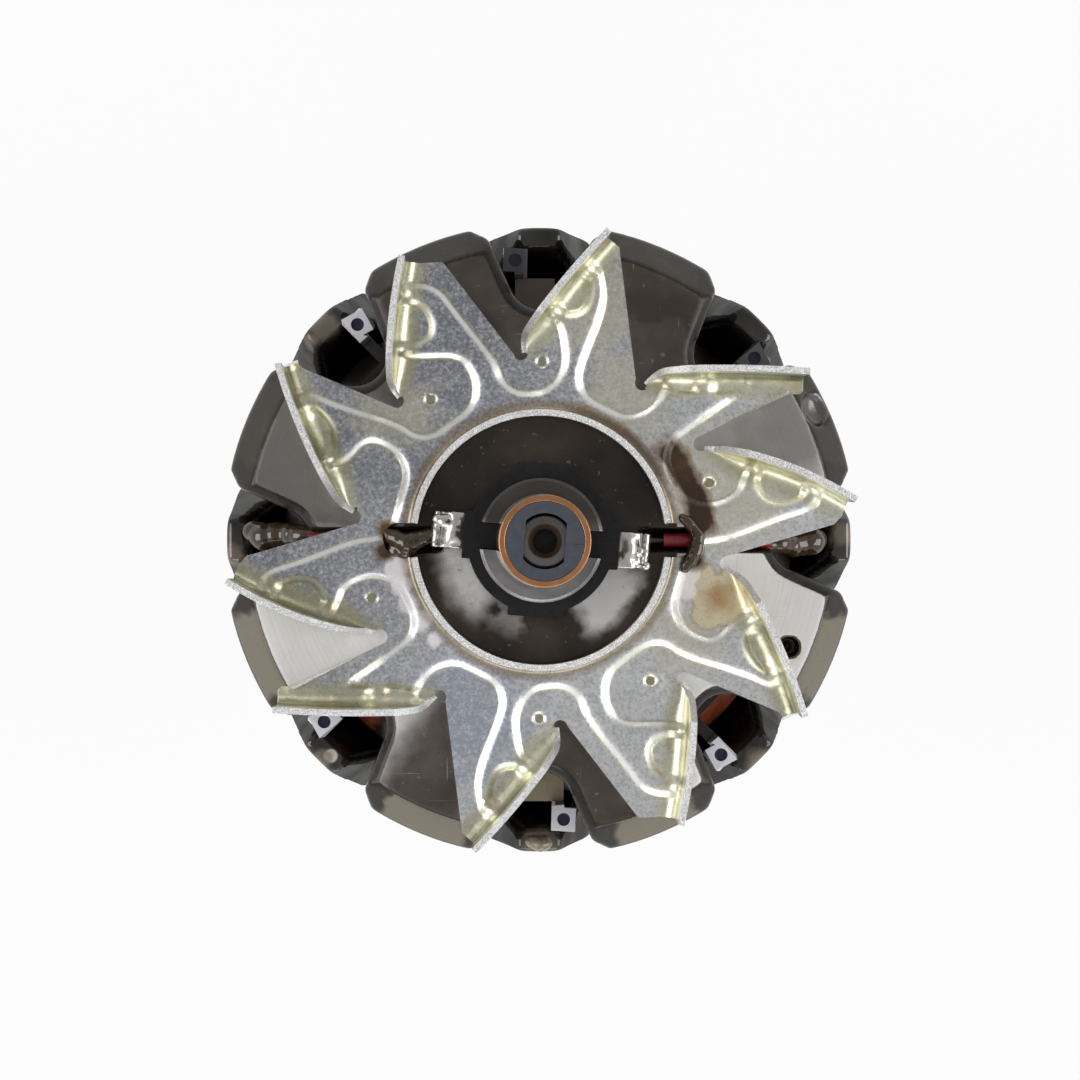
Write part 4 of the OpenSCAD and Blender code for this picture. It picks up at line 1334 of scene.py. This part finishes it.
random.seed(7)
for side, half_turn in (("right", 0), ("left", 180)):
    points, faces = bent_lug(3.0 + half_turn)
    points = spin(points, RING_TURN + half_turn) + (0, 0, REAR_FACE)
    lug = piece_from(f"{side}_bent_lug", points, faces, tin.material, "tinned_metal", f"{side}_terminal")
    modify(lug, "strip", "SOLIDIFY", thickness=0.8 * MM, offset=0)
    beads = np.array([solder_bead() for _ in range(SOLDER_BEADS)])
    merged_beads(f"{side}_solder", spin(beads, RING_TURN + half_turn), tin.material, "tinned_metal", 0.16)
print("two lugs bent and soldered")

# %% [markdown]
# ## Leads and resin
# Each lead leaves its post in a red sleeve and runs in a groove under the fan to the notch in the collar.
# Dark resin holds it down: lumps in the notches, a run along the groove, and drops on a few finger tips.

# %% Sleeve and lead
red = Finish("red_sleeve", Coat_Weight=0.7, Coat_Roughness=0.1, Roughness=0.4)
red.set("Base Color", red.blend(red.grain(500), (0.24, 0.010, 0.014), (0.46, 0.03, 0.035)))
for sleeve in ("left_lead_sleeve", "right_lead_sleeve"):
    softened(sleeve, "red_sleeve", red.material, 0.1)
for lead in ("left_lead", "right_lead"):
    softened(lead, "winding_copper", enamel.material, 0.1)
print("leads sleeved")

# %% Resin
resin = Finish("brown_resin", Coat_Roughness=0.03, Coat_IOR=1.7, Specular_IOR_Level=0.0)
depth = resin.grain(260, 3)
resin.set("Base Color", resin.blend(depth, (0.012, 0.006, 0.003), (0.075, 0.040, 0.014)))
resin.gloss(depth, 0.08, 0.25)
resin.set("Coat Weight", resin.step(resin.up, 0.15, 0.5))
resin.bump(resin.grain(240, 3), 0.4)
crust = Finish("resin_crust", Coat_Weight=0.8, Coat_Roughness=0.08)
crust.set("Base Color", crust.blend(crust.grain(900, 3), (0.09, 0.062, 0.04), (0.42, 0.35, 0.26)))
crust.gloss(crust.grain(600), 0.2, 0.5)
crust.bump(crust.grain(700, 3), 0.4)
print("resin and crust are mixed")

# %% Runs of resin
RUNS = {
    "left_plug": [
        [(-25.2, 1.0, 0.8, 1.0), (-23.6, 0.2, 1.6, 1.5), (-22.0, -0.5, 1.9, 1.7), (-20.2, 0.0, 1.7, 1.5),
         (-18.0, 1.2, 2.4, 0.9)],
        [(-24.6, -1.8, 1.0, 1.0), (-22.6, -2.0, 1.5, 1.1), (-21.0, -1.4, 1.4, 1.0)],
    ],
    "right_plug": [
        [(23.2, 3.8, 2.2, 0.6), (24.6, 2.8, 2.0, 0.9), (26.0, 0.8, 2.0, 1.1), (25.8, -1.4, 2.2, 1.3),
         (24.8, -3.2, 2.2, 1.2), (23.8, -4.8, 2.2, 0.8)],
    ],
    "left_run": [
        [(-28.6, 0.3, -2.2, 1.2), (-32.0, -0.4, -1.9, 1.6), (-36.0, 0.5, -2.0, 1.5), (-39.6, 0.6, -3.2, 1.7),
         (-42.4, 1.0, -6.0, 2.0), (-46.4, 0.6, -7.4, 2.3), (-48.6, 1.6, -9.0, 1.6)],
    ],
    "right_run": [
        [(29.6, -0.3, -2.2, 1.1), (32.6, 0.4, -2.0, 1.5), (34.6, 0.0, -2.3, 1.1)],
        [(37.0, -0.6, -2.4, 1.2), (40.0, -0.6, -3.4, 1.7), (42.6, -0.8, -6.2, 2.0), (46.4, 0.0, -7.4, 2.3)],
    ],
    "tip_drops": [[(-1.6, -51.0, -13.8, 1.0), (0.2, -51.6, -13.4, 1.4), (1.6, -51.2, -14.0, 1.0)]],
}


def bead_run(knots):
    """Close beads between knots (x, y, z, radius), so that the lump has no waists."""
    beads = []
    for start, end in zip(knots, knots[1:]):
        start, end = np.array(start), np.array(end)
        count = max(2, int(np.linalg.norm((end - start)[:3]) / (0.3 * min(start[3], end[3]))))
        for k in range(count):
            wobble = np.array([random.uniform(-0.15, 0.15) for _ in range(4)])
            beads.append(start + (end - start) * k / count + wobble)
    return beads


for name, lines_of_knots in RUNS.items():
    beads = [bead for knots in lines_of_knots for bead in bead_run(knots)]
    finish = crust if name == "tip_drops" else resin
    merged_beads(f"resin_{name}", beads, finish.material, "bobbin_nylon", 0.2)
print(len(RUNS), "lumps of resin set")
